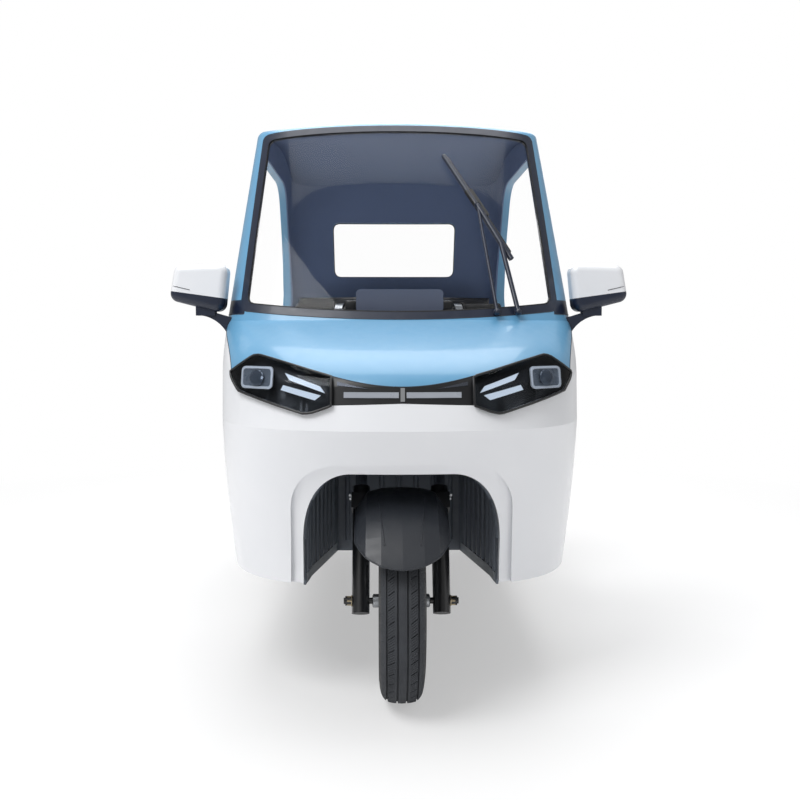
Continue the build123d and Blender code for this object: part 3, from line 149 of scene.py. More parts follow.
# Painted panels have a clear coat over faint orange peel; mouldings have a pebbled or spark-eroded grain.
FINISHES: dict[str, Finish] = {
    "white_paint": Finish("white_paint_sprayed", "#E9EAED", "#E2E4E8", 0.36, 0.04, 0, 0.4),
    "blue_paint": Finish("blue_paint_sprayed", "#639CC1", "#5C94B9", 0.38, 0.04, 0, 0.3),
    "band": Finish("abs_satin_black_moulded", "#141F35", "#0F182A", 0.40, 0.06, 0, 0.1, Grain.PEBBLE, 1.1, 0.01),
    "lining": Finish("abs_slate_vacuum_formed", "#5E7093", "#566788", 0.66, 0.06, 0, 0, Grain.PEBBLE, 1.6, 0.015),
    "plastic": Finish("polypropylene_grey_moulded", "#30353B", "#272B31", 0.58, 0.1, 0, 0, Grain.PEBBLE, 1.4, 0.09),
    "housing": Finish("abs_lamp_housing_moulded", "#0D0F13", "#090A0D", 0.42, 0.05, 0, 0.1),
    "lamp_panel": Finish("abs_lamp_bezel_metallised", "#5B6069", "#474B54", 0.25, 0.06, 0.75, 0),
    "daylight": Finish("acrylic_light_guide_frosted", "#E9F1F8", "#DCE7F1", 0.35, 0.04, 0, 0.4, glow=0.6),
    "light_bar": Finish("acrylic_light_bar_frosted", "#A3A8B1", "#8F949D", 0.3, 0.04, 0, 0.4),
    "cluster": Finish("abs_display_housing_moulded", "#566075", "#4C556A", 0.45, 0.06, 0, 0.1, Grain.PEBBLE, 1.2, 0.02),
    "well": Finish("polypropylene_well_thermoformed", "#646B75", "#575E67", 0.5, 0.08, 0, 0, Grain.PEBBLE, 1.4, 0.04),
    "red": Finish("acrylic_red_moulded", "#A30F17", "#85090F", 0.16, 0.03, 0, 0.7, Grain.RIBBED, 6.0, 0.5),
    "amber": Finish("acrylic_amber_moulded", "#D9730D", "#C0620A", 0.16, 0.03, 0, 0.7, Grain.RIBBED, 6.0, 0.5),
    "frame": Finish("steel_powder_coated", "#1B1D20", "#141518", 0.48, 0.08, 0, 0.1, Grain.ORANGE_PEEL, 1.5, 0.04),
    "fork": Finish("fork_tube_satin_painted", "#16171A", "#101113", 0.38, 0.06, 0, 0.3, Grain.ORANGE_PEEL, 2.0, 0.02),
    "guard": Finish("polypropylene_mudguard_moulded", "#292D34", "#22252B", 0.48, 0.08, 0, 0.1, Grain.PEBBLE,
                    1.2, 0.06),
    "chrome": Finish("steel_chrome_plated", "#DADCDF", "#CDD0D4", 0.10, 0.04, 1),
    "alloy": Finish("aluminium_sand_cast", "#A4A8AD", "#8F9398", 0.40, 0.08, 1, 0, Grain.CAST, 1.3, 0.08),
    "zinc": Finish("steel_zinc_plated", "#B9BCC0", "#A2A5A8", 0.34, 0.08, 1, 0, Grain.BRUSHED, 1.2, 0.02),
    "brass": Finish("steel_zinc_yellow_plated", "#B0A288", "#978B73", 0.30, 0.08, 1, 0, Grain.BRUSHED, 0.8, 0.02),
    "rubber": Finish("rubber_moulded", "#1A1B1D", "#131415", 0.78, 0.08, 0, 0, Grain.PEBBLE, 1.5, 0.08),
    "tread": Finish("tyre_rubber_vulcanised", "#3B3E43", "#303236", 0.82, 0.07, 0, 0, Grain.PEBBLE, 2.2, 0.12, 45.0),
    "sidewall": Finish("tyre_sidewall_vulcanised", "#242527", "#1C1D1F", 0.66, 0.08, 0, 0, Grain.PEBBLE, 1.4,
                       0.05, 60.0),
    "leather": Finish("leather_synthetic_embossed", "#26272A", "#1D1E21", 0.52, 0.08, 0, 0, Grain.PEBBLE, 2.6,
                      0.28, 90.0),
    "thread": Finish("polyester_thread_sewn", "#6E747C", "#5E636B", 0.7, 0.05),
    "screen": Finish("display_glass_blackened", "#101418", "#0B0E11", 0.08, 0.03, 0, 0.6),
    "silver": Finish("glass_silvered_mirror", "#C9CED3", "#C3C8CE", 0.04, 0.02, 1),
    "plate": Finish("aluminium_plate_painted", "#D9DBDC", "#CFD1D2", 0.45, 0.05),
    "seam": Finish("panel_gap_shadowed", "#3A3F46", "#2E3238", 0.8, 0.04),
    "lens_glass": Finish("glass_lens_pressed", "#606A77", "#545D69", 0.06, 0.03, 0.35, 0.9),
    # The bezel frame is plain white, not metal, and glows faintly: a painted highlight standing in for its metallised
    # shine.
    "bezel_painted_glow": Finish("abs_bezel_white_painted_glow", "#EEF1F5", "#E2E6EB", 0.34, 0.05, 0, 0.2, glow=0.14),
    "lamp_plate": Finish("abs_lamp_plate_moulded", "#8C939C", "#7F868F", 0.3, 0.05, 0.2, 0.2),
    "flange": Finish("polypropylene_flange_moulded", "#7E848B", "#73797F", 0.55, 0.08, 0, 0, Grain.PEBBLE, 1.4, 0.06),
}

SLOT_FINISH: dict[Slots, str] = {
    Slots.WHITE: "white_paint", Slots.BLUE: "blue_paint", Slots.TRIM: "band", Slots.LINING: "lining",
    Slots.PLASTIC: "plastic", Slots.LENS: "housing", Slots.RED: "red", Slots.STEEL: "frame", Slots.FORK: "fork",
    Slots.GUARD: "guard", Slots.CHROME: "chrome", Slots.ALLOY: "alloy", Slots.RUBBER: "rubber",
    Slots.TYRE: "tread", Slots.LEATHER: "leather",
}


def linear(code: str) -> tuple[float, float, float, float]:
    """Linear colour of an sRGB hex code.

    Args:
        code: The colour as "#RRGGBB".

    Returns:
        Red, green, blue and an alpha of one.
    """
    parts = [int(code[i:i + 2], 16) / 255.0 for i in (1, 3, 5)]
    red, green, blue = [c / 12.92 if c <= 0.04045 else ((c + 0.055) / 1.055) ** 2.4 for c in parts]
    return red, green, blue, 1.0


class NodeKit:
    """A node tree, with one way to add a node."""

    def __init__(self, tree: bpy.types.NodeTree) -> None:
        """Starts on an existing tree."""
        self.tree = tree

    def add(self, kind: str, inputs: dict | None = None, **settings: object) -> bpy.types.Node:
        """Adds a node with its settings, values and links.

        Args:
            kind: The node type's name.
            inputs: Values or other nodes' output sockets for its inputs.
            **settings: Properties of the node itself.

        Returns:
            The new node.
        """
        node = self.tree.nodes.new(kind)
        for key, value in settings.items():
            setattr(node, key, value)
        for key, value in (inputs or {}).items():
            if isinstance(value, Socket):
                self.tree.links.new(value, node.inputs[key])
            else:
                node.inputs[key].default_value = value
        return node

    def math(self, operation: str, *values: Socket | float) -> Socket:
        """The result of one operation on sockets or numbers."""
        return self.add("ShaderNodeMath", dict(enumerate(values)), operation=operation).outputs[0]


class Graph(NodeKit):
    """A material's node tree."""

    def __init__(self, name: str) -> None:
        """Starts an empty material of that name."""
        self.material = bpy.data.materials.new(name)
        self.material.use_nodes = True
        super().__init__(self.material.node_tree)
        self.tree.nodes.clear()

    def noise(self, vector: Socket, size_mm: float, detail: float = 3.0) -> Socket:
        """A noise whose patches are about size_mm across."""
        node = self.add("ShaderNodeTexNoise", {"Vector": vector, "Scale": 1000.0 / size_mm, "Detail": detail})
        return node.outputs["Fac"]

    def tone(self, place: Socket, size_mm: float, first: str, second: str) -> Socket:
        """A colour that drifts between two hex codes over patches about size_mm across."""
        inputs = {"Factor": self.noise(place, size_mm), 6: linear(first), 7: linear(second)}
        return self.add("ShaderNodeMix", inputs, data_type="RGBA").outputs[2]

    def close(self, shader: Socket) -> bpy.types.Material:
        """Joins a shader to the output and returns the material."""
        self.add("ShaderNodeOutputMaterial", {"Surface": shader})
        return self.material


class Workshop:
    """Makes each material once and hands it out by name."""

    gloss_patch_mm = 24.0
    noise_low, noise_high = 0.3, 0.7
    coat_rough = 0.08
    edge_shine, face_shine = 0.4, 0.006

    def __init__(self) -> None:
        """Starts with no material made."""
        self.made: dict[str, bpy.types.Material] = {}

    def get(self, key: str) -> bpy.types.Material:
        """The material of that key."""
        if key not in self.made:
            self.made[key] = self.pane(key) if key.startswith("pane") else self.build(FINISHES[key])
            LOG.info("material %s", self.made[key].name)
        return self.made[key]

    def relief(self, graph: Graph, finish: Finish, place: Socket) -> Socket:
        """The height map of a finish's grain."""
        if finish.grain is Grain.PEBBLE:
            cells = graph.add("ShaderNodeTexVoronoi", {"Vector": place, "Scale": 1000.0 / finish.grain_mm},
                              feature="SMOOTH_F1")
            return cells.outputs["Distance"]
        if finish.grain is Grain.BRUSHED:
            streak = graph.add("ShaderNodeMapping", {"Vector": place, "Scale": (1.0, 14.0, 14.0)})
            return graph.noise(streak.outputs["Vector"], finish.grain_mm, 2.0)
        if finish.grain is Grain.RIBBED:
            bands = graph.add("ShaderNodeTexWave", {"Vector": place, "Scale": 1000.0 / finish.grain_mm / 6.28},
                              bands_direction="X")
            return bands.outputs["Fac"]
        return graph.noise(place, finish.grain_mm, 4.0 if finish.grain is Grain.CAST else 1.0)

    def build(self, finish: Finish) -> bpy.types.Material:
        """A principled material with faint mottling, uneven gloss and its grain."""
        graph = Graph(finish.name)
        place = graph.add("ShaderNodeTexCoord").outputs["Object"]
        tone = graph.tone(place, finish.mottle_mm, finish.hex_code, finish.shade)
        gloss = graph.add("ShaderNodeMapRange", {
            "Value": graph.noise(place, self.gloss_patch_mm), "From Min": self.noise_low, "From Max": self.noise_high,
            "To Min": max(0.02, finish.rough - finish.spread), "To Max": finish.rough + finish.spread,
        })
        inputs = {
            "Base Color": tone, "Roughness": gloss.outputs["Result"], "Metallic": finish.metal,
            "Coat Weight": finish.coat, "Coat Roughness": self.coat_rough,
        }
        if finish.grain is not Grain.SMOOTH:
            bump = graph.add("ShaderNodeBump", {
                "Height": self.relief(graph, finish, place), "Distance": finish.relief_mm * MM, "Strength": 1.0})
            inputs["Normal"] = bump.outputs["Normal"]
        if finish.glow > 0.0:
            inputs["Emission Color"] = linear(finish.hex_code)
            inputs["Emission Strength"] = finish.glow
        return graph.close(graph.add("ShaderNodeBsdfPrincipled", inputs).outputs["BSDF"])

    def pane(self, key: str) -> bpy.types.Material:
        """Thin clear glazing: what is behind shows, with reflections that grow towards the edge of sight."""
        tint, name, rough = {
            "pane": ("#FFFFFF", "glass_laminated_float", 0.02),
            "pane_lens": ("#E2E5E9", "polycarbonate_lens_moulded", 0.03),
        }[key]
        graph = Graph(name)
        facing = graph.add("ShaderNodeLayerWeight", {"Blend": 0.5}).outputs["Facing"]
        share = graph.math("MULTIPLY_ADD", graph.math("POWER", facing, 5.0), self.edge_shine, self.face_shine)
        clear = graph.add("ShaderNodeBsdfTransparent", {"Color": linear(tint)}).outputs["BSDF"]
        shine = graph.add("ShaderNodeBsdfGlossy", {"Roughness": rough}).outputs["BSDF"]
        return graph.close(graph.add("ShaderNodeMixShader", {0: share, 1: clear, 2: shine}).outputs["Shader"])


WORKSHOP = Workshop()


def link(name: str, data: bpy.types.ID) -> Thing:
    """A new object with that data, in the scene."""
    thing = bpy.data.objects.new(name, data)
    bpy.context.scene.collection.objects.link(thing)
    return thing


def evaluated(thing: Thing) -> bpy.types.Mesh:
    """A plain mesh of an object as its modifiers leave it."""
    graph = bpy.context.evaluated_depsgraph_get()
    return bpy.data.meshes.new_from_object(thing.evaluated_get(graph), depsgraph=graph)


# ---- mesh building ------------------------------------------------------------------------------
@dataclass
class Shape:
    """A mesh under construction in the row frame, in metres."""

    bm: bmesh.types.BMesh = field(default_factory=bmesh.new)

    def ring_mesh(self, rings: Sequence[Sequence[Vector]], capped: bool = True, looped: bool = False) -> "Shape":
        """Joins closed rings of points into one skin.

        Args:
            rings: Equal-length rows of points.
            capped: Whether the first and last rings are filled.
            looped: Whether the last ring joins the first.

        Returns:
            This shape.
        """
        rows = [[self.bm.verts.new(p) for p in ring] for ring in rings]
        count = len(rows[0])
        pairs = list(zip(rows, rows[1:])) + ([(rows[-1], rows[0])] if looped else [])
        for first, second in pairs:
            for i in range(count):
                j = (i + 1) % count
                self.bm.faces.new((first[i], first[j], second[j], second[i]))
        if capped and not looped:
            self.bm.faces.new(rows[0])
            self.bm.faces.new(list(reversed(rows[-1])))
        return self

    def tube(self, path: Sequence[Vector], radii: Sequence[float], sides: int) -> "Shape":
        """A round tube along a path, with a radius for each point."""
        rings = []
        up = TO_TOP
        last = len(path) - 1
        turns = [2.0 * math.pi * k / sides for k in range(sides)]
        for i, p in enumerate(path):
            run = (path[min(i + 1, last)] - path[max(i - 1, 0)]).normalized()
            if abs(run.dot(up)) > 0.95:
                up = TO_BACK if abs(run.y) < 0.9 else TO_RIGHT
            side = run.cross(up).normalized()
            up = side.cross(run).normalized()
            rings.append([p + (side * math.cos(t) + up * math.sin(t)) * radii[i] for t in turns])
        return self.ring_mesh(rings)

    def ribbon(self, path: Sequence[Vector], normals: Sequence[Vector], width: float, height: float) -> "Shape":
        """A flat bead of a given width and height that follows a path on a surface."""
        rings = []
        last = len(path) - 1
        for i, p in enumerate(path):
            run = (path[min(i + 1, last)] - path[max(i - 1, 0)]).normalized()
            up = normals[i].normalized()
            side = run.cross(up).normalized() * (width / 2.0)
            rings.append([p - side - up * height * 0.5, p - side * 0.8 + up * height, p + side * 0.8 + up * height,
                          p + side - up * height * 0.5])
        return self.ring_mesh(rings)

    def revolve(self, profile: Outline, centre: Vector, steps: int, axis: Vector = TO_RIGHT) -> "Shape":
        """Turns (along, radius) points in millimetres about an axis through a centre."""
        axis = axis.normalized()
        first = axis.orthogonal().normalized()
        second = axis.cross(first)
        rings = []
        for k in range(steps):
            t = 2.0 * math.pi * k / steps
            out = first * math.cos(t) + second * math.sin(t)
            rings.append([centre + axis * (a * MM) + out * (r * MM) for a, r in profile])
        return self.ring_mesh(rings, looped=True)

    def block(self, low: Point, high: Point, bevel: float = 0.0) -> "Shape":
        """A block between two corners, with its edges rounded."""
        made = bmesh.ops.create_cube(self.bm, size=1.0)["verts"]
        low_v, high_v = Vector(low), Vector(high)
        size = high_v - low_v
        for vert in made:
            vert.co = Vector([low_v[i] + (vert.co[i] + 0.5) * size[i] for i in range(3)])
        if bevel > 0.0:
            edges = list({edge for vert in made for edge in vert.link_edges})
            bmesh.ops.bevel(self.bm, geom=edges, offset=bevel, segments=3, affect="EDGES", profile=0.5)
        return self

    def panel(self, outline: Outline, place: Callable[[float, float], Vector], depth: Vector) -> "Shape":
        """A flat-ish plate: an outline set on a surface, then thickened by a vector."""
        front = [place(a, b) for a, b in outline]
        return self.ring_mesh([front, [p + depth for p in front]])

    def mirrored(self) -> "Shape":
        """Adds the mirror image across the middle plane."""
        made = bmesh.ops.duplicate(self.bm, geom=self.bm.verts[:] + self.bm.edges[:] + self.bm.faces[:])["geom"]
        for vert in [g for g in made if isinstance(g, bmesh.types.BMVert)]:
            vert.co.x = -vert.co.x
        bmesh.ops.reverse_faces(self.bm, faces=[g for g in made if isinstance(g, bmesh.types.BMFace)])
        return self

    def publish(self, name: str, finish: str, slot: Slots, body: str = "chassis", replaces: Iterable[str] = (),
                sharp_deg: float = 35.0) -> Thing:
        """Turns the shape into a finished piece.

        Args:
            name: The piece's name.
            finish: The key of its finish.
            slot: The record's material slot, not used.
            body: The CAD body it moves with.
            replaces: CAD nodes that it stands for.
            sharp_deg: The angle above which an edge stays sharp.

        Returns:
            The object.
        """
        bmesh.ops.remove_doubles(self.bm, verts=self.bm.verts[:], dist=WELD)
        bmesh.ops.recalc_face_normals(self.bm, faces=self.bm.faces[:])
        mesh = bpy.data.meshes.new(name)
        self.bm.to_mesh(mesh)
        self.bm.free()
        return adopt(bpy.data.objects.new(name, mesh), finish, slot, body, replaces, sharp_deg)


def adopt(thing: Thing, finish: str, slot: Slots, body: str, replaces: Iterable[str] = (),
          sharp_deg: float = 35.0) -> Thing:
    """Gives an object its finish, shading and body, and logs it."""
    if thing.name not in bpy.context.scene.collection.objects:
        bpy.context.scene.collection.objects.link(thing)
    thing.data.shade_smooth()
    thing.data.set_sharp_from_angle(angle=math.radians(sharp_deg))
    if finish:
        thing.data.materials.clear()
        thing.data.materials.append(WORKSHOP.get(finish))
    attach(thing, body)
    if replaces:
        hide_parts(*replaces)
    LOG.info("piece %s: %d faces, rides %s", thing.name, len(thing.data.polygons), body)
    return thing


# ---- surfaces of the CAD model ------------------------------------------------------------------
class Skin:
    """The outer surface of some CAD nodes, found by rays."""

    def __init__(self, *nodes: str) -> None:
        """Gathers the meshes of those nodes."""
        verts: list[Vector] = []
        faces: list[tuple[int, ...]] = []
        for node in nodes:
            mesh = frame["nodes"][node].data
            base = len(verts)
            verts.extend(v.co.copy() for v in mesh.vertices)
            faces.extend(tuple(base + i for i in p.vertices) for p in mesh.polygons)
        self.tree = BVHTree.FromPolygons(verts, faces)

    def hit(self, start: Point, run: Point) -> tuple[Vector, Vector]:
        """The first point and outward normal along a ray, or the nearest point where the ray misses."""
        place, normal, _index, _far = self.tree.ray_cast(Vector(start), Vector(run))
        if place is None:
            place, normal, _index, _far = self.tree.find_nearest(Vector(start))
        return place, -normal if normal.dot(Vector(run)) > 0.0 else normal

    def reach(self, start: Point, run: Point, limit: float = 9.0) -> Vector | None:
        """The first point along a ray, or nothing where it misses or goes past the limit."""
        place, _normal, _index, far = self.tree.ray_cast(Vector(start), Vector(run))
        return None if place is None or far > limit else place

    def front(self, x: float, z: float) -> tuple[Vector, Vector]:
        """The surface seen from ahead at one place of the front view."""
        return self.hit((x, -2.0, z), TO_BACK)


# ---- shapes grown from lines and points -----------------------------------------------------------
class Grower(NodeKit):
    """A Geometry Nodes tree with named inputs, run once on a base mesh and kept as a plain mesh."""

    def __init__(self, name: str, sockets: dict[str, tuple[str, object]]) -> None:
        """Starts a tree with a geometry input and the named inputs, each a socket type and a default."""
        super().__init__(bpy.data.node_groups.new(name, "GeometryNodeTree"))
        self.tree.interface.new_socket(name="Geometry", in_out="INPUT", socket_type="NodeSocketGeometry")
        self.ids: dict[str, str] = {}
        for key, (kind, default) in sockets.items():
            made = self.tree.interface.new_socket(name=key, in_out="INPUT", socket_type=kind)
            if default is not None:
                made.default_value = default
            self.ids[key] = made.identifier
        self.tree.interface.new_socket(name="Geometry", in_out="OUTPUT", socket_type="NodeSocketGeometry")
        self.start = self.tree.nodes.new("NodeGroupInput")

    def given(self, key: str) -> Socket:
        """The socket that carries one of the tree's inputs."""
        return self.start.outputs[key]

    def close(self, geometry: Socket) -> "Grower":
        """Realizes the instances, sets the material and joins the geometry to the output."""
        real = self.add("GeometryNodeRealizeInstances", {"Geometry": geometry}).outputs["Geometry"]
        inputs = {"Geometry": real, "Material": self.given("Material")}
        painted = self.add("GeometryNodeSetMaterial", inputs).outputs["Geometry"]
        self.add("NodeGroupOutput", {"Geometry": painted})
        return self

    def grow(self, name: str, base: bpy.types.Mesh, finish: str, **values: float) -> Thing:
        """Runs the tree on a base mesh.

        Args:
            name: The new object's name.
            base: The lines or points to grow from.
            finish: The key of the finish.
            **values: The tree's other inputs.

        Returns:
            An object with the grown mesh and no modifier.
        """
        seed = link(name + "_seed", base)
        modifier = seed.modifiers.new("grow", "NODES")
        modifier.node_group = self.tree
        modifier[self.ids["Material"]] = WORKSHOP.get(finish)
        for key, value in values.items():
            modifier[self.ids[key]] = value
        mesh = evaluated(seed)
        bpy.data.objects.remove(seed)
        mesh.name = name
        return bpy.data.objects.new(name, mesh)


def bead_tree() -> Grower:
    """Round beads along lines: flutes, seals, piping, seams and mat ribs."""
    tree = Grower("bead_along_line", {
        "Radius": ("NodeSocketFloat", 0.002), "Sides": ("NodeSocketInt", 8), "Material": ("NodeSocketMaterial", None)})
    curve = tree.add("GeometryNodeMeshToCurve", {"Mesh": tree.given("Geometry")}).outputs["Curve"]
    ring = tree.add("GeometryNodeCurvePrimitiveCircle", {
        "Radius": tree.given("Radius"), "Resolution": tree.given("Sides")}).outputs["Curve"]
    skin = tree.add("GeometryNodeCurveToMesh", {"Curve": curve, "Profile Curve": ring, "Fill Caps": True})
    return tree.close(skin.outputs["Mesh"])


def fastener_tree() -> Grower:
    """Washers with screw heads on points, turned to each point's aim."""
    tree = Grower("fastener_on_point", {
        "Radius": ("NodeSocketFloat", 0.005), "Height": ("NodeSocketFloat", 0.004), "Corners": ("NodeSocketInt", 6),
        "Material": ("NodeSocketMaterial", None)})
    height, radius = tree.given("Height"), tree.given("Radius")
    wide, thin = tree.math("MULTIPLY", radius, 1.45), tree.math("MULTIPLY", height, 0.22)
    disc = tree.add("GeometryNodeMeshCylinder", {"Vertices": 20, "Radius": wide, "Depth": thin}).outputs["Mesh"]
    head = tree.add("GeometryNodeMeshCone", {
        "Vertices": tree.given("Corners"), "Radius Bottom": radius, "Radius Top": tree.math("MULTIPLY", radius, 0.86),
        "Depth": height}).outputs["Mesh"]
    whole = tree.add("GeometryNodeJoinGeometry")
    for mesh, depth in ((disc, thin), (head, height)):
        shift = tree.add("ShaderNodeCombineXYZ", {"Z": tree.math("MULTIPLY", depth, 0.5)}).outputs["Vector"]
        moved = tree.add("GeometryNodeTransform", {"Geometry": mesh, "Translation": shift})
        tree.tree.links.new(moved.outputs[0], whole.inputs[0])
    aim = tree.add("GeometryNodeInputNamedAttribute", {"Name": "aim"}, data_type="FLOAT_VECTOR")
    turn = tree.add("FunctionNodeAlignRotationToVector", {"Vector": aim.outputs["Attribute"]}, axis="Z")
    spread = tree.add("GeometryNodeInstanceOnPoints", {
        "Points": tree.given("Geometry"), "Instance": whole.outputs[0], "Rotation": turn.outputs["Rotation"]})
    return tree.close(spread.outputs["Instances"])


def stitch_tree() -> Grower:
    """Sewn stitches, spaced and turned along lines."""
    tree = Grower("stitch_along_line", {
        "Spacing": ("NodeSocketFloat", 0.007), "Length": ("NodeSocketFloat", 0.0045),
        "Radius": ("NodeSocketFloat", 0.0007), "Material": ("NodeSocketMaterial", None)})
    curve = tree.add("GeometryNodeMeshToCurve", {"Mesh": tree.given("Geometry")}).outputs["Curve"]
    spots = tree.add("GeometryNodeCurveToPoints", {"Curve": curve, "Length": tree.given("Spacing")}, mode="LENGTH")
    ball = tree.add("GeometryNodeMeshUVSphere", {"Segments": 6, "Rings": 5, "Radius": 0.5}).outputs["Mesh"]
    thick = tree.math("MULTIPLY", tree.given("Radius"), 2.0)
    size = tree.add("ShaderNodeCombineXYZ", {"X": thick, "Y": thick, "Z": tree.given("Length")}).outputs["Vector"]
    spread = tree.add("GeometryNodeInstanceOnPoints", {
        "Points": spots.outputs["Points"], "Instance": ball, "Rotation": spots.outputs["Rotation"], "Scale": size})
    return tree.close(spread.outputs["Instances"])


BEADS = bead_tree()
FASTENERS = fastener_tree()
STITCHES = stitch_tree()


def lines_mesh(name: str, lines: Iterable[Sequence[Vector]], closed: bool = False) -> bpy.types.Mesh:
    """A mesh of bare polylines, each closed on itself if asked."""
    verts: list[Vector] = []
    edges: list[tuple[int, int]] = []
    for line in lines:
        base = len(verts)
        verts.extend(Vector(p) for p in line)
        edges.extend((base + i, base + i + 1) for i in range(len(line) - 1))
        if closed:
            edges.append((base + len(line) - 1, base))
    mesh = bpy.data.meshes.new(name)
    mesh.from_pydata(verts, edges, [])
    return mesh


def spots_mesh(name: str, spots: Sequence[tuple[Vector, Vector]]) -> bpy.types.Mesh:
    """A mesh of bare points, each with the direction that it faces as its aim."""
    mesh = bpy.data.meshes.new(name)
    mesh.from_pydata([place for place, _aim in spots], [], [])
    aims = mesh.attributes.new("aim", "FLOAT_VECTOR", "POINT")
    for i, (_place, aim) in enumerate(spots):
        aims.data[i].vector = aim.normalized()
    return mesh


def beads(name: str, lines: Iterable[Sequence[Vector]], radius: float, finish: str, slot: Slots,
          body: str = "chassis", closed: bool = False, sides: int = 8) -> Thing:
    """Grows round beads along lines and publishes them as a piece."""
    grown = BEADS.grow(name, lines_mesh(name + "_lines", lines, closed), finish, Radius=radius, Sides=sides)
    return adopt(grown, "", slot, body, sharp_deg=50.0)


def screws(name: str, spots: Sequence[tuple[Vector, Vector]], radius: float, height: float, slot: Slots,
           body: str = "chassis", corners: int = 6) -> Thing:
    """Grows plated screw heads on points and publishes them as a piece."""
    grown = FASTENERS.grow(name, spots_mesh(name + "_spots", spots), "zinc", Radius=radius, Height=height,
                           Corners=corners)
    return adopt(grown, "", slot, body, sharp_deg=30.0)


def stitches(name: str, lines: Iterable[Sequence[Vector]], body: str, closed: bool = False) -> Thing:
    """Sews stitches along lines and publishes them as a piece."""
    grown = STITCHES.grow(name, lines_mesh(name + "_lines", lines, closed), "thread")
    return adopt(grown, "", Slots.LEATHER, body)


# ---- faces lifted off the CAD model ---------------------------------------------------------------
Facing = Callable[[Vector, Vector], bool]


def ahead(normal: Vector, _centre: Vector) -> bool:
    """Whether a face looks forward at all."""
    return normal.y < -0.02


def astern(normal: Vector, centre: Vector) -> bool:
    """Whether a face looks backward, or sideways out of a rear corner."""
    return 0.8 * normal.y + 0.6 * normal.x * math.copysign(1.0, centre.x) > 0.3 and abs(normal.z) < 0.9


class Exposure:
    """Tells a panel's outer faces by rays: nothing of the body lies in front of them."""

    shell = ("front_fairing", "bonnet", "windscreen_surround", "roof_shell", "rear_shell", "rear_lower_body",
             "headlamps", "lamp_strip", "side_sills")
    lift = 0.6 * MM
    sight = 0.4

    def __init__(self) -> None:
        """Gathers the body's panels."""
        self.skin = Skin(*self.shell)
        low, high = REST_BOUNDS
        self.middle = (low + high) / 2.0

    def __call__(self, normal: Vector, centre: Vector) -> bool:
        """Whether a face looks outward with nothing before it."""
        if normal.dot(centre - self.middle) <= 0.0:
            return False
        return self.skin.tree.ray_cast(centre + normal * self.lift, normal, self.sight)[0] is None


def lifted_faces(node: str, facing: Facing, cuts: Sequence[Cut] = ()) -> bmesh.types.BMesh:
    """A copy of a CAD node's faces that look one way.

    Args:
        node: The CAD node.
        facing: Tells from a face's normal and centre whether it is kept.
        cuts: Planes as (point, normal), and what lies on the side of the normal goes.

    Returns:
        The faces as a mesh in the row frame.
    """
    bm = bmesh.new()
    bm.from_mesh(frame["nodes"][node].data)
    bmesh.ops.remove_doubles(bm, verts=bm.verts[:], dist=CAD_WELD)
    bm.normal_update()
    away = [f for f in bm.faces if not facing(f.normal, f.calc_center_median())]
    bmesh.ops.delete(bm, geom=away, context="FACES")
    for place, normal in cuts:
        geom = bm.verts[:] + bm.edges[:] + bm.faces[:]
        bmesh.ops.bisect_plane(bm, geom=geom, plane_co=place, plane_no=normal, clear_outer=True)
    loose = [v for v in bm.verts if not v.link_faces]
    bmesh.ops.delete(bm, geom=loose, context="VERTS")
    bm.normal_update()
    return bm


def veneer(node: str, facing: Facing, lift: float, thick: float, cuts: Sequence[Cut] = (),
           along: Vector | None = None) -> Shape:
    """A plate over some of a node's faces, from lift above them to thick below that.

    Args:
        node: The CAD node.
        facing: Tells which faces are covered.
        lift: How far the plate's front stands proud.
        thick: The plate's thickness.
        cuts: Planes that trim the plate.
        along: The direction of the thickness, if not the faces' own normals.

    Returns:
        The closed plate.
    """
    bm = lifted_faces(node, facing, cuts)
    for vert in bm.verts:
        vert.co += (along or vert.normal) * lift
    bm.normal_update()
    moves = {vert: (along or vert.normal) * -thick for vert in bm.verts}
    front = bm.faces[:]
    made = bmesh.ops.duplicate(bm, geom=bm.verts[:] + bm.edges[:] + front)
    twins = {old: new for old, new in made["vert_map"].items() if isinstance(old, bmesh.types.BMVert) and old in moves}
    for old, new in twins.items():
        new.co += moves[old]
    for edge in dict.fromkeys(e for f in front for e in f.edges if len(e.link_faces) == 1):
        a, b = edge.verts
        bm.faces.new((a, b, twins[b], twins[a]))
    return Shape(bm)


def rims(node: str, facing: Facing, step: float = 12.0 * MM) -> Lines:
    """The closed outlines of a node's faces that look one way, resampled at about one step."""
    bm = lifted_faces(node, facing)
    edges = {e for e in bm.edges if len(e.link_faces) == 1}
    loops: Lines = []
    for first in bm.edges:
        if first not in edges:
            continue
        edges.discard(first)
        start, at = first.verts
        loop = [start.co.copy()]
        while at is not start:
            loop.append(at.co.copy())
            onward = next((e for e in at.link_edges if e in edges), None)
            if onward is None:
                break
            edges.discard(onward)
            at = onward.other_vert(at)
        if len(loop) > 8:
            loops.append(respaced(loop, step))
    bm.free()
    return loops


def respaced(loop: Sequence[Vector], step: float) -> list[Vector]:
    """A closed loop's points at even spacing."""
    points = [*loop, loop[0]]
    lengths = [(b - a).length for a, b in zip(points, points[1:])]
    total = sum(lengths)
    count = max(12, round(total / step))
    spaced: list[Vector] = []
    i, gone = 0, 0.0
    for k in range(count):
        target = total * k / count
        while i < len(lengths) - 1 and gone + lengths[i] < target:
            gone += lengths[i]
            i += 1
        share = (target - gone) / lengths[i] if lengths[i] > 0.0 else 0.0
        spaced.append(points[i].lerp(points[i + 1], min(1.0, share)))
    return spaced


def longest(loops: Sequence[list[Vector]], count: int = 1) -> Lines:
    """The longest of some loops."""
    def girth(loop: list[Vector]) -> float:
        """A closed loop's length."""
        return sum((b - a).length for a, b in zip(loop, [*loop[1:], loop[0]]))

    return sorted(loops, key=girth, reverse=True)[:count]


def row_y(behind_axle_mm: float) -> float:
    """The frame's y for a distance behind the front axle."""
    low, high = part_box("front_tyre")
    return (low.y + high.y) / 2.0 + behind_axle_mm * MM


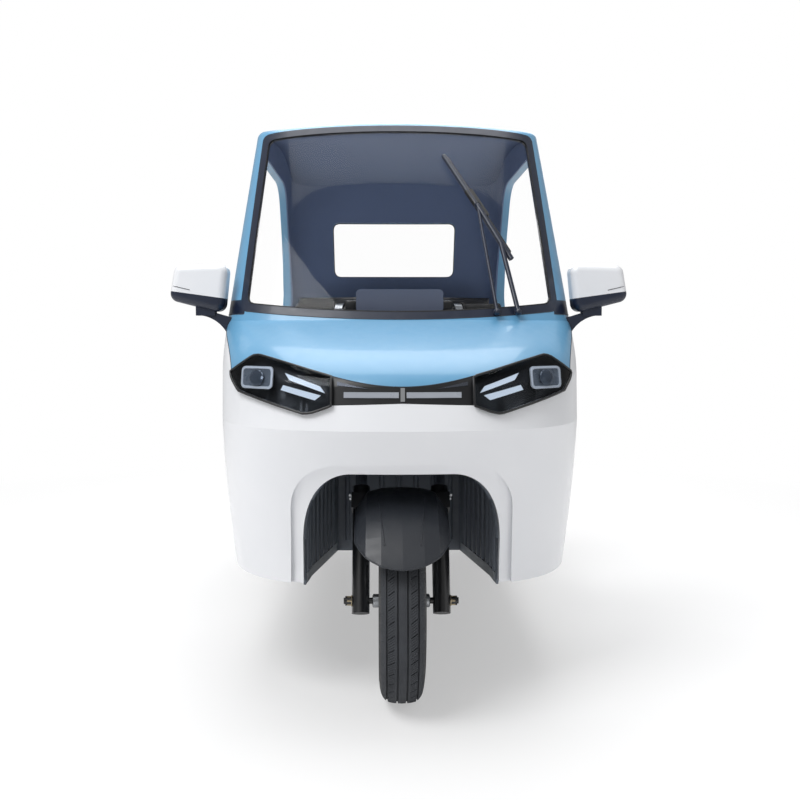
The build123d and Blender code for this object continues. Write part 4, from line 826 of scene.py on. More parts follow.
def node_middle(node: str) -> Vector:
    """The middle of a CAD node's box."""
    low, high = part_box(node)
    return (low + high) / 2.0


def about_axle(turn: float) -> Vector:
    """The direction outward from an axle at an angle in radians."""
    return Vector((0.0, math.cos(turn), math.sin(turn)))


def rounded(middle: Sequence[float], half: Sequence[float], corner: float, steps: int) -> Outline:
    """A rounded rectangle.

    Args:
        middle: Its middle.
        half: Half its width and height.
        corner: The radius of its corners.
        steps: The number of steps round each corner.

    Returns:
        Its outline, corner by corner.
    """
    points = []
    for k, (right, up) in enumerate(((1, 1), (-1, 1), (-1, -1), (1, -1))):
        for step in range(steps + 1):
            turn = math.radians(90.0 * k + 90.0 / steps * step)
            points.append((middle[0] + right * (half[0] - corner) + corner * math.cos(turn),
                           middle[1] + up * (half[1] - corner) + corner * math.sin(turn)))
    return points


def dense(outline: Outline, step: float) -> Outline:
    """A closed outline with points added along its edges, about one step apart."""
    points = []
    for (a, b), (c, d) in zip(outline, [*outline[1:], outline[0]]):
        count = max(1, round(math.dist((a, b), (c, d)) / step))
        points += [(a + (c - a) * k / count, b + (d - b) * k / count) for k in range(count)]
    return points


# ---- wheels ---------------------------------------------------------------------------------------
@dataclass
class Tyre:
    """Tubeless tyre with a centre rib, two pairs of grooves and diagonal sipes, measured in millimetres."""

    nodes: Sequence[tuple[str, str]] = (
        ("front_tyre", "front_wheel"), ("rear_tyre_left", "rear_wheel_left"), ("rear_tyre_right", "rear_wheel_right"))
    pitches: int = 46
    groove_depth: float = 4.6
    sipe_depth: float = 3.4
    fine_depth: float = 1.3
    lean: float = 0.72
    outer_r: float = 250.0
    shoulder_x: float = 50.5
    wall_r: float = 226.2
    # The rows of one pitch: each one's share of the pitch and how much of the sipes' depth is cut there.
    row_shares: Outline = (
        (0.0, 0.0), (0.025, 1.0), (0.095, 1.0), (0.12, 0.0), (0.27, 0.0), (0.29, 0.38), (0.31, 0.0), (0.47, 0.0),
        (0.49, 0.38), (0.51, 0.0), (0.67, 0.0), (0.69, 0.38), (0.71, 0.0), (0.85, 0.0), (0.87, 0.38), (0.89, 0.0))

    # The radius at distances from the middle, all in millimetres.
    profile: Outline = ((0.0, 250.0), (18.0, 249.0), (26.0, 247.9), (35.5, 245.3), (43.0, 239.2), (48.0, 232.5),
                        (50.5, 227.0))
    # The tread's columns on one side, in millimetres from the middle, each with what it belongs to.
    columns: Sequence[tuple[float, str]] = (
        (0.0, "rib"), (5.0, "rib"), (9.4, "rib"), (9.9, "groove"), (13.3, "groove"), (13.8, "rib"), (19.0, "rib"),
        (19.6, "sipe"), (27.0, "sipe"), (34.6, "sipe"), (35.0, "groove"), (38.2, "groove"), (38.8, "rib"),
        (42.0, "rib"), (44.5, "notch"), (47.5, "notch"), (50.5, "rib"))
    # The sidewall from the shoulder to the bead, with its plain rings, in millimetres across and outward.
    wall: Outline = (
        (51.6, 223.0), (53.4, 216.0), (54.8, 208.0), (55.5, 198.0), (56.4, 196.5), (56.4, 193.5), (55.7, 192.0),
        (55.8, 178.0), (54.9, 158.0), (52.4, 146.0), (50.4, 138.0), (46.5, 131.5), (42.0, 128.2))

    def crown(self, x: float) -> float:
        """The tyre's radius at a distance from its middle, with no groove, all in millimetres."""
        for (a, r), (b, q) in zip(self.profile, self.profile[1:]):
            if x <= b:
                return r + (q - r) * (x - a) / (b - a)
        return self.profile[-1][1]

    def ring(self, angle: float, share: float, cut: float) -> list[Vector]:
        """One row of points across the tyre, about its own middle."""
        deep = {"groove": self.groove_depth, "sipe": self.sipe_depth * cut, "notch": self.fine_depth * cut}
        halves = []
        for side in (1.0, -1.0):
            lean = side * self.lean / self.outer_r
            rows = [(x, self.crown(x) - deep.get(kind, 0.0), lean * x)
                    for x, kind in (self.columns if side > 0.0 else self.columns[1:])]
            rows += [(x, r, lean * self.shoulder_x) for x, r in self.wall]
            points = []
            for x, r, turn in rows:
                turn += angle + share
                points.append(Vector((side * x, -math.cos(turn) * r, math.sin(turn) * r)) * MM)
            halves.append(points)
        return halves[0][::-1] + halves[1]

    def build(self) -> Pieces:
        """Makes one tyre's mesh and sets it on each wheel."""
        rings = []
        pitch = 2.0 * math.pi / self.pitches
        for k in range(self.pitches):
            rings += [self.ring(k * pitch, share * pitch, cut) for share, cut in self.row_shares]
        made = []
        for node, body in self.nodes:
            centre = node_middle(node)
            shape = Shape().ring_mesh([[p + centre for p in ring] for ring in rings], looped=True)
            tyre = shape.publish(node + "_moulded", "tread", Slots.TYRE, body, [node], sharp_deg=32.0)
            tyre.data.materials.append(WORKSHOP.get("sidewall"))
            for face in tyre.data.polygons:
                spot = face.center - centre
                face.material_index = int(math.hypot(spot.y, spot.z) < self.wall_r * MM)
            made.append(tyre)
        return made


@dataclass
class WheelFittings:
    """Nuts, centre caps and valves on the cast wheels, and the drums behind the rear ones."""

    nut_circle: float = 43.0 * MM
    nuts: int = 5
    nut_r: float = 7.5 * MM
    # Turned profiles in millimetres: along the axle and outward.
    cap: Outline = ((-2.0, 27.0), (3.0, 27.0), (5.0, 25.0), (7.5, 20.0), (8.5, 10.0), (8.8, 0.5), (-2.0, 0.5))
    drum: Outline = ((0.0, 30.2), (0.0, 48.0), (4.0, 54.0), (4.0, 90.0), (0.0, 95.0), (0.0, 99.0), (16.0, 99.0),
                     (16.0, 94.0), (8.0, 88.0), (8.0, 52.0), (6.0, 30.2))
    drum_inboard: float = 22.0 * MM
    # The valve leans out of the barrel: its place round the wheel in degrees, how deep in the barrel and how far out
    # its root lies, how far its tip goes out and inward, and its radii in millimetres along its length.
    valve_angle: float = 72.0
    valve_depth: float = 8.0 * MM
    valve_side: float = 24.0 * MM
    valve_out: float = 13.0 * MM
    valve_in: float = 26.0 * MM
    valve_path: Sequence[float] = (0.0, 0.25, 0.3, 0.62, 0.66, 0.95, 1.0)
    valve_radii: Sequence[float] = (5.5, 5.0, 3.6, 3.4, 4.2, 4.2, 3.0)

    def hub_face(self, node: str, side: float) -> Vector:
        """The middle of a rim's hub face on one side, where its hub stands proud of the barrel."""
        low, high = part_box(node)
        face = node_middle(node)
        face.x = high.x if side > 0.0 else low.x
        return face

    def build(self) -> Pieces:
        """Makes what is bolted to each wheel."""
        made = []
        for node, body, sides in (("front_rim", "front_wheel", (-1.0, 1.0)),
                                  ("rear_rim_left", "rear_wheel_left", (-1.0,)),
                                  ("rear_rim_right", "rear_wheel_right", (1.0,))):
            spots = []
            shape = Shape()
            rear = node != "front_rim"
            for side in sides:
                face = self.hub_face(node, side)
                aim = TO_RIGHT * side
                for k in range(self.nuts):
                    turn = 2.0 * math.pi * (k + 0.5) / self.nuts
                    spots.append((face + about_axle(turn) * self.nut_circle, aim))
                if rear:
                    shape.revolve(self.cap, face, 40, aim)
            height = 9.0 * MM if rear else 6.0 * MM
            made.append(screws(node + "_nuts", spots, self.nut_r, height, Slots.ALLOY, body))
            if rear:
                made.append(shape.publish(node + "_cap", "housing", Slots.TRIM, body))
            made.append(self.valve(node, body, sides[-1]))
        return made + [self.drums()]

    def valve(self, node: str, body: str, side: float) -> Thing:
        """The rubber valve stem with its cap, leaning out of the barrel."""
        middle = node_middle(node)
        out = about_axle(math.radians(self.valve_angle))
        barrel_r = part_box(node)[1].z - middle.z
        root = middle + TO_RIGHT * (side * self.valve_side) + out * (barrel_r - self.valve_depth)
        tip = root + TO_RIGHT * (side * self.valve_out) - out * self.valve_in
        path = [root.lerp(tip, share) for share in self.valve_path]
        stem = Shape().tube(path, [radius * MM for radius in self.valve_radii], 14)
        return stem.publish(node + "_valve", "rubber", Slots.RUBBER, body)

    def drums(self) -> Thing:
        """Brake drums' backing plates beside the rear wheels, with a rolled edge and a raised centre."""
        face = node_middle("rear_rim_right")
        face.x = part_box("rear_rim_right")[0].x - self.drum_inboard
        return Shape().revolve(self.drum, face, 56).mirrored().publish("brake_backing_plates", "frame", Slots.STEEL)


# ---- nose -----------------------------------------------------------------------------------------
@dataclass
class Headlamps:
    """Each lamp as a clear cover over a black housing with a projector and two running lights."""

    cover: float = 2.2 * MM
    recess: float = 34.0 * MM
    skirt: float = 2.5 * MM
    light_back: float = 14.0 * MM
    light_thick: float = 7.0 * MM
    # The corners of the two running lights of the right lamp in the front view, in millimetres.
    lights: Sequence[Outline] = (((278.0, 835.0), (192.0, 806.0), (181.0, 791.0), (266.0, 819.0)),
                                 ((281.0, 807.0), (190.0, 785.0), (204.0, 774.0), (287.0, 796.0)))
    # Rings round the projector: for the bezel and its plate how far they stand out, their corner's radius and their
    # depth, for the lens their radius and their depth, all in millimetres.
    bezel_rings: Sequence[Point] = ((2.0, 10.0, 26.0), (2.0, 10.0, 6.5), (0.0, 9.0, 5.5), (-2.5, 8.0, 6.5),
                                    (-4.0, 7.0, 12.0))
    plate_rings: Sequence[Point] = ((-3.0, 7.0, 14.0), (-3.0, 7.0, 11.0))
    lens_rings: Outline = ((19.5, 13.0), (19.0, 9.0), (16.5, 6.8), (11.0, 5.2), (5.0, 4.5))
    projector: tuple[float, float] = (350.0 * MM, 823.0 * MM)
    projector_half: tuple[float, float] = (40.0 * MM, 24.0 * MM)
    skin: Skin = field(init=False)

    def __post_init__(self) -> None:
        """Finds the lamps' outer skin."""
        self.skin = Skin("headlamps")

    def place(self, x: float, z: float, back: float) -> Vector:
        """A point behind the lamp's outer surface at one place of the front view."""
        return self.skin.front(x, z)[0] + TO_BACK * back

    def shell(self) -> Pieces:
        """The clear cover and the housing behind it."""
        cover = veneer("headlamps", ahead, 0.0, self.cover, along=TO_FRONT)
        bowl = lifted_faces("headlamps", ahead)
        edge = [e for e in bowl.edges if len(e.link_faces) == 1]
        skirt = bmesh.ops.extrude_edge_only(bowl, edges=edge)["geom"]
        outer = {v for v in skirt if isinstance(v, bmesh.types.BMVert)}
        for vert in bowl.verts:
            vert.co -= TO_FRONT * (self.skirt if vert in outer else self.recess)
        return [cover.publish("headlamp_covers", "pane_lens", Slots.LENS, replaces=["headlamps"]),
                Shape(bowl).publish("headlamp_housings", "housing", Slots.LENS, replaces=["headlamps"])]

    def light(self, corners: Outline) -> Outline:
        """A parallelogram's outline with extra points along its long edges."""
        a, b, c, d = [Vector((x * MM, z * MM)) for x, z in corners]
        return [tuple(p.lerp(q, k / 6.0)) for p, q in ((a, b), (c, d)) for k in range(7)]

    def running_lights(self) -> Thing:
        """Two slanted light guides on each side."""
        shape = Shape()
        for corners in self.lights:
            shape.panel(self.light(corners), lambda x, z: self.place(x, z, self.light_back), TO_BACK * self.light_thick)
        return shape.mirrored().publish("headlamp_running_lights", "daylight", Slots.LENS)

    def frame_ring(self, grow: float, corner: float, back: float) -> list[Vector]:
        """A rounded rectangle about the projector, a distance behind the lamp's surface, in millimetres."""
        half = [size + grow * MM for size in self.projector_half]
        return [self.place(x, z, back * MM) for x, z in rounded(self.projector, half, corner * MM, 5)]

    def bezel(self) -> Pieces:
        """The rectangle round each projector, white with a painted glow standing in for its metallised shine, its plate
        and its round glass.
        """
        bezel = Shape().ring_mesh([self.frame_ring(*ring) for ring in self.bezel_rings], capped=False)
        plate = Shape().ring_mesh([self.frame_ring(*ring) for ring in self.plate_rings])
        lens = Shape().ring_mesh([self.lens_ring(*ring) for ring in self.lens_rings])
        return [bezel.mirrored().publish("headlamp_bezels", "bezel_painted_glow", Slots.CHROME),
                plate.mirrored().publish("headlamp_plates", "lamp_plate", Slots.LENS),
                lens.mirrored().publish("headlamp_projectors", "lens_glass", Slots.LENS)]

    def lens_ring(self, radius: float, back: float) -> list[Vector]:
        """A circle about the projector, a distance behind the lamp's surface, in millimetres."""
        x0, z0 = self.projector
        turns = [math.radians(10.0 * k) for k in range(36)]
        return [self.place(x0 + radius * MM * math.cos(turn), z0 + radius * MM * math.sin(turn), back * MM)
                for turn in turns]

    def build(self) -> Pieces:
        """Makes both lamps."""
        return [*self.shell(), self.running_lights(), *self.bezel()]


@dataclass
class LampStrip:
    """What shows on the dark strip between the lamps: a grey bar, a plain divider and two bright wedges.

    The outlines are places of the front view in millimetres.
    """

    bars_x: Outline = ((-136.0, -9.0), (9.0, 136.0))
    bars_z: tuple[float, float] = (781.0, 794.0)
    divider: Outline = ((-5.0, 773.0), (5.0, 773.0), (5.0, 804.0), (-5.0, 804.0))
    wedge: Outline = ((152.0, 818.0), (152.0, 809.0), (78.0, 801.0))
    spacing: float = 18.0
    bar_lift: float = 2.5 * MM
    divider_lift: float = 4.0 * MM
    wedge_lift: float = 1.5 * MM

    def plate(self, shape: Shape, outline: Outline, lift: float) -> None:
        """Adds one plate that follows the strip's surface."""
        skin = Skin("lamp_strip", "headlamps")
        points = [(x * MM, z * MM) for x, z in dense(outline, self.spacing)]
        shape.panel(points, lambda x, z: skin.front(x, z)[0] - TO_BACK * lift, TO_BACK * (lift + MM))

    def build(self) -> Pieces:
        """Makes the strip's bright parts."""
        bar, bright, wedges = Shape(), Shape(), Shape()
        low_z, high_z = self.bars_z
        for low_x, high_x in self.bars_x:
            self.plate(bar, [(low_x, low_z), (high_x, low_z), (high_x, high_z), (low_x, high_z)], self.bar_lift)
        self.plate(bright, self.divider, self.divider_lift)
        for side in SIDES:
            wedge = [(side * x, z) for x, z in self.wedge]
            self.plate(wedges, wedge if side > 0.0 else wedge[::-1], self.wedge_lift)
        return [bar.publish("lamp_strip_bar", "light_bar", Slots.LENS),
                bright.publish("lamp_strip_divider", "chrome", Slots.CHROME),
                wedges.publish("lamp_strip_wedges", "lamp_panel", Slots.LENS)]


@dataclass
class BodySeams:
    """The rubber seals of the glass and the shadowed gaps between the panels."""

    gap_r: float = 1.1 * MM
    # The two gaps across the body: where the rays come from, and their first and last angle in degrees.
    roof_eye_z: float = 1.2
    roof_arc: tuple[float, float] = (33.0, 147.0)
    belt_eye_y: float = 1500.0
    belt_arc: tuple[float, float] = (-33.0, 213.0)
    steps: int = 120
    outside: float = 2.0

    def build(self) -> Pieces:
        """Makes seals and gaps."""
        made = [
            beads(name, longest(rims(node, facing), count), radius_mm * MM, finish, slot, closed=True)
            for name, node, facing, count, radius_mm, finish, slot in (
                ("windscreen_seal", "windscreen_glass", ahead, 1, 3.0, "rubber", Slots.RUBBER),
                ("rear_window_seal", "rear_window", astern, 1, 3.0, "rubber", Slots.RUBBER),
                ("tail_lamp_seals", "tail_lamps", astern, 2, 1.6, "rubber", Slots.RUBBER),
                ("headlamp_seals", "headlamps", ahead, 2, 3.2, "housing", Slots.TRIM),
            )
        ]
        gaps = longest(rims("bonnet", Exposure(), 10.0 * MM))
        made.append(beads("bonnet_gap", gaps, self.gap_r, "seam", Slots.TRIM, closed=True, sides=6))
        skin = Skin("roof_shell", "rear_shell", "rear_lower_body")
        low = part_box("rear_shell")[0]
        roof = self.section(skin, Vector((0.0, low.y, self.roof_eye_z)), TO_TOP, self.roof_arc)
        belt = self.section(skin, Vector((0.0, row_y(self.belt_eye_y), low.z)), TO_BACK, self.belt_arc)
        made.append(beads("rear_panel_gaps", [roof, belt], self.gap_r, "seam", Slots.TRIM, sides=6))
        return made

    def section(self, skin: Skin, middle: Vector, up: Vector, arc: tuple[float, float]) -> list[Vector]:
        """Where the body's outer skin meets a plane through the x axis' direction.

        Args:
            skin: The body's skin.
            middle: A point inside the body on the plane.
            up: The plane's direction at 90 degrees from +x.
            arc: The first and the last angle in degrees.

        Returns:
            The points along the skin.
        """
        line = []
        for k in range(self.steps + 1):
            turn = math.radians(arc[0] + (arc[1] - arc[0]) * k / self.steps)
            out = TO_RIGHT * math.cos(turn) + up * math.sin(turn)
            place = skin.tree.ray_cast(middle + out * self.outside, -out, self.outside)[0]
            if place is not None:
                line.append(place)
        return line


@dataclass
class WheelWell:
    """Upright flutes in the front wheel's well and the plain flange round its foot."""

    first_y: float = -70.0
    last_y: float = 330.0
    pitch: float = 42.0
    low_z: float = 324.0 * MM
    top_z: float = 672.0 * MM
    inner_x: float = 90.0 * MM
    flange_low_z: float = 296.0 * MM
    flange_top_z: float = 321.0 * MM
    flange_thick: float = 3.5 * MM
    flange_first_y: float = -80.0
    flange_step: float = 11.0
    flange_steps: int = 40
    flare: float = 30.0 * MM
    sight: float = 0.3
    back_eye_y: float = 60.0
    back_drop: float = 60.0 * MM
    flute_r: float = 7.5 * MM

    def wall(self, skin: Skin, side: float, y: float, z: float) -> Vector | None:
        """A point on the inside of the well's wall."""
        return skin.reach((0.0, y, z), TO_RIGHT * side, self.sight)

    def upright(self, skin: Skin, foot: Vector, run: Vector, top_z: float, steps: int, limit: float = 9.0) -> Lines:
        """A line up the well's skin, seen from above a foot in the well's middle.

        Args:
            skin: The well's skin.
            foot: Where the rays start, apart from their height.
            run: The direction in which they look.
            top_z: The height of the line's head.
            steps: The number of steps from its foot to its head.
            limit: How far the skin may lie from the start.

        Returns:
            A list with the line, or an empty list where the skin is too short.
        """
        line = []
        for j in range(steps + 1):
            start = Vector((foot.x, foot.y, self.low_z + (top_z - self.low_z) * j / steps))
            place = skin.reach(start, run, limit)
            if place is not None and (place - start).length > self.inner_x:
                line.append(place)
        return [line] if len(line) > 5 else []

    def build(self) -> Pieces:
        """Makes flutes and flange."""
        skin = Skin("wheel_well_liner")
        lines = []
        for side in SIDES:
            for k in range(int((self.last_y - self.first_y) / self.pitch) + 1):
                foot = TO_BACK * row_y(self.first_y + k * self.pitch)
                lines += self.upright(skin, foot, TO_RIGHT * side, self.top_z, 26, self.sight)
        for x_mm in range(-150, 151, 50):
            foot = Vector((x_mm * MM, row_y(self.back_eye_y), 0.0))
            lines += self.upright(skin, foot, TO_BACK, self.top_z - self.back_drop, 21)
        return [beads("wheel_well_flutes", lines, self.flute_r, "well", Slots.PLASTIC), self.flange(skin)]

    def flange(self, skin: Skin) -> Thing:
        """A flat flange along both walls at the well's foot."""
        shape = Shape()
        low_z, top_z = self.flange_low_z, self.flange_top_z
        for side in SIDES:
            rings = []
            for k in range(self.flange_steps):
                y = row_y(self.flange_first_y + k * self.flange_step)
                foot, head = self.wall(skin, side, y, low_z + 2.0 * MM), self.wall(skin, side, y, top_z)
                if foot is None or head is None:
                    continue
                if abs(foot.x) < self.inner_x or abs(foot.x - head.x) > self.flare:
                    continue
                foot = Vector((foot.x, y, low_z))
                inner = TO_RIGHT * (side * self.flange_thick)
                rings.append([foot, head, head - inner, foot - inner])
            if len(rings) > 1:
                shape.ring_mesh(rings)
        return shape.publish("wheel_well_flange", "flange", Slots.PLASTIC)


@dataclass
class ForkFittings:
    """Nuts and spacers on the front axle, and the mudguard's bolts, creases and rolled rim."""

    crease_foot: float = 440.0 * MM
    crease_drop: float = 9.0 * MM
    crease_top_x: float = 56.0
    crease_taper: float = 14.0
    axle_end: float = 21.0 * MM
    hub_half: float = 47.0 * MM
    # The mudguard's bolts: how far behind the front axle and how high, in millimetres.
    bolts: Outline = ((96.0, 505.0), (128.0, 490.0))
    # Turned profiles in millimetres: along the axle and outward.
    nut: Outline = ((0.0, 0.5), (0.0, 16.0), (2.0, 16.0), (2.0, 13.2), (2.5, 13.2), (12.0, 13.2), (13.5, 11.5),
                    (13.5, 0.5))
    spacer: Outline = ((0.0, 8.2), (0.0, 17.0), (24.0, 17.0), (26.0, 14.0), (26.0, 8.2))

    def build(self) -> Pieces:
        """Makes the fork's small parts."""
        centre = node_middle("front_tyre")
        half_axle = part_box("fork_legs")[1].x
        nuts, spacers, spots = Shape(), Shape(), []
        skin = Skin("front_mudguard", "fork_legs")
        for side in SIDES:
            out = TO_RIGHT * side
            nuts.revolve(self.nut, centre + out * (half_axle - self.axle_end), 6, out)
            spacers.revolve(self.spacer, centre + out * self.hub_half, 32, out)
            spots += [skin.hit((side * 0.4, row_y(y_mm), z_mm * MM), -out) for y_mm, z_mm in self.bolts]
        edge = longest(rims("front_mudguard", lambda n, c: n.z > -0.2 and n.dot(c - centre) > 0.0))
        return [
            nuts.publish("front_axle_nuts", "brass", Slots.CHROME, "steering", sharp_deg=25.0),
            spacers.publish("front_axle_spacers", "zinc", Slots.CHROME, "steering"),
            screws("mudguard_bolts", spots, 5.0 * MM, 4.5 * MM, Slots.CHROME, "steering"),
            beads("mudguard_creases", self.creases(), 1.8 * MM, "guard", Slots.GUARD, "steering"),
            beads("mudguard_rim", edge, 2.0 * MM, "guard", Slots.GUARD, "steering", True),
        ]

    def creases(self) -> Lines:
        """The two lines down the mudguard's front."""
        guard = Skin("front_mudguard")
        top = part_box("front_mudguard")[1].z - self.crease_drop
        lines = []
        for side in SIDES:
            places = []
            for k in range(30):
                share = k / 29.0
                x = side * (self.crease_top_x - self.crease_taper * share) * MM
                z = top - (top - self.crease_foot) * share
                places.append(guard.reach((x, -2.0, z), TO_BACK))
            lines.append([place for place in places if place is not None])
        return lines


@dataclass
class Controls:
    """Ribbed grips, switch pods, the display's face and the wiper's rubber lip."""

    bend_x: float = 78.0 * MM
    pod_x: float = 138.0 * MM
    # Half sizes and offsets along the bar in millimetres.
    pod_half: Point = (17.0, 21.0, 19.0)
    button_half: Point = (3.6, 3.6, 1.8)
    button_offsets: Sequence[float] = (-9.0, 0.0, 9.0)
    pod_bevel: float = 6.0 * MM
    display_height: float = 63.0 * MM
    display_edge: float = 9.0 * MM
    display_lift: float = 1.4 * MM
    # How near the CAD grip's ends points count to them, and how far the moulded one goes past them.
    grip_reach: float = 16.0 * MM
    grip_inner: float = 8.0 * MM
    grip_past: float = 14.0 * MM
    # The grip's ribs in millimetres: their spacing, the bottoms' radius and their height.
    rib_step: float = 2.5
    rib_r: float = 16.4
    rib_height: float = 1.2
    # The wiper's blade: how far inside the CAD wiper's box its heel and its tip lie, across and up, in millimetres.
    heel: tuple[float, float] = (16.0, 157.0)
    tip: tuple[float, float] = (5.0, 6.0)
    lip_size: tuple[float, float] = (3.0, 7.0)
    # First and last spot, width and height in millimetres of each layer of the wiper's spoiler.
    spoiler: Sequence[tuple[int, int, float, float]] = ((1, 23, 17.0, 9.0), (9, 15, 27.0, 13.0))

    def grips(self) -> Thing:
        """Ribbed rubber grips that follow the bar's sweep."""
        right = [v.co for v in frame["nodes"]["handlebar_grips"].data.vertices if v.co.x > 0.0]
        inner_x, outer_x = min(p.x for p in right), max(p.x for p in right)
        ends = []
        for edge_x in (inner_x, outer_x):
            near = [p for p in right if abs(p.x - edge_x) < self.grip_reach]
            ends.append(sum(near, Vector()) / len(near))
        run = (ends[1] - ends[0]).normalized()
        root = ends[0] - run * self.grip_inner
        end = ((ends[1] - ends[0]).length + self.grip_past) / MM
        profile = [(0.0, 11.2), (0.0, 21.5), (4.0, 22.5), (7.0, 21.5), (8.0, 16.2)]
        for k in range(int((end - 24.0) / self.rib_step)):
            profile.append((10.0 + self.rib_step * k, self.rib_r + (self.rib_height if k % 2 else 0.0)))
        profile += [(end - 9.0, 18.5), (end - 2.0, 18.5), (end, 15.0), (end, 0.4), (end - 2.0, 0.4), (end - 3.0, 11.2)]
        grips = Shape().revolve(profile, root, 28, run).mirrored()
        return grips.publish("grips_ribbed", "rubber", Slots.RUBBER, "steering", ["handlebar_grips"], 40.0)

    def pods(self) -> Pieces:
        """A small switch pod inboard of each grip, with three buttons."""
        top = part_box("handlebar")[1].z
        shape, buttons = Shape(), Shape()
        bar = [v.co for v in frame["nodes"]["handlebar"].data.vertices]
        bend = min(bar, key=lambda p: abs(p.x - self.bend_x) + abs(p.z - top))
        tip = max(bar, key=lambda p: p.x)
        middle = bend.lerp(tip, (self.pod_x - bend.x) / (tip.x - bend.x))
        half = Vector(self.pod_half) * MM
        shape.block(middle - half, middle + half, self.pod_bevel)
        knob = Vector(self.button_half) * MM
        for offset in self.button_offsets:
            spot = middle + Vector((offset * MM, half.y * 0.5, half.z))
            buttons.block(spot - knob, spot + knob, 1.0 * MM)
        return [shape.mirrored().publish("switch_pods", "housing", Slots.TRIM, "steering"),
                buttons.mirrored().publish("switch_buttons", "flange", Slots.TRIM, "steering")]

    def display(self) -> Thing:
        """The display's dark glass in its bezel, facing the seat."""
        low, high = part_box("instrument_cluster")
        edge, lift = self.display_edge, self.display_lift
        shape = Shape().block((low.x + edge, high.y - 2.0 * MM, high.z - self.display_height + edge),
                              (high.x - edge, high.y + lift, high.z - edge), 1.0 * MM)
        return shape.publish("display_glass", "screen", Slots.TRIM)

    def wiper_lip(self) -> Pieces:
        """The rubber lip that the wiper drags over the glass, and the spoiler over it."""
        low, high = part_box("wiper")
        heel = Vector((high.x - self.heel[0] * MM, 0.0, low.z + self.heel[1] * MM))
        tip = Vector((low.x + self.tip[0] * MM, 0.0, high.z - self.tip[1] * MM))
        skin = Skin("windscreen_glass")
        spots = [skin.front(p.x, p.z) for p in (heel.lerp(tip, k / 24.0) for k in range(25))]
        normals = [normal for _place, normal in spots]
        width, height = self.lip_size
        lip = Shape().ribbon([p + n * MM for p, n in spots], normals, width * MM, height * MM)
        cover = Shape()
        for first, last, width, height in self.spoiler:
            part = slice(first, last + 1)
            cover.ribbon([p + n * height * MM for p, n in spots[part]], normals[part], width * MM, 5.0 * MM)
        return [lip.publish("wiper_lip", "rubber", Slots.RUBBER),
                cover.publish("wiper_spoiler", "housing", Slots.TRIM)]

    def build(self) -> Pieces:
        """Makes the controls' fine parts."""
        return [self.grips(), *self.pods(), self.display(), *self.wiper_lip()]


@dataclass
class Mirrors:
    """Silvered glass on the mirrors' rear faces and the thin dark gap on each cap."""

    corner: float = 14.0 * MM
    thick: float = 3.2 * MM
    # The glass's corners: how far inboard of the cap's outer edge and how far below its top.
    glass: Outline = ((11.0, 92.0), (24.0, 12.0), (147.0, 9.0), (136.0, 124.0))
    # The gap in the cap's front, from end to end, in the same measures.
    gap: Outline = ((2.5, 61.0), (55.5, 73.0))

    def build(self) -> Pieces:
        """Makes both mirrors' glass and the caps' gaps."""
        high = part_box("mirror_caps")[1]
        top, side, back = high.z, high.x, high.y
        corners = [Vector((side - x * MM, top - z * MM)) for x, z in self.glass]
        outline: list[tuple[float, float]] = []
        for i, corner in enumerate(corners):
            a, b = [corner.lerp(other, self.corner / (other - corner).length)
                    for other in (corners[i - 1], corners[(i + 1) % 4])]
            for k in range(7):
                t = k / 6.0
                outline.append(tuple(a * (1 - t) ** 2 + corner * 2 * t * (1 - t) + b * t * t))
        glass = Shape().panel(outline, lambda x, z: Vector((x, back - 1.0 * MM, z)), TO_BACK * self.thick)
        made = [glass.mirrored().publish("mirror_glass", "silver", Slots.CHROME)]
        skin = Skin("mirror_caps")
        start, end = [Vector(spot) for spot in self.gap]
        spots = [start.lerp(end, k / 8.0) for k in range(9)]
        line = [skin.front(side - spot.x * MM, top - spot.y * MM)[0] for spot in spots]
        made.append(beads("mirror_cap_gaps", [line, [Vector((-p.x, p.y, p.z)) for p in line]], 1.0 * MM, "seam",
                          Slots.TRIM, sides=6))
        return made


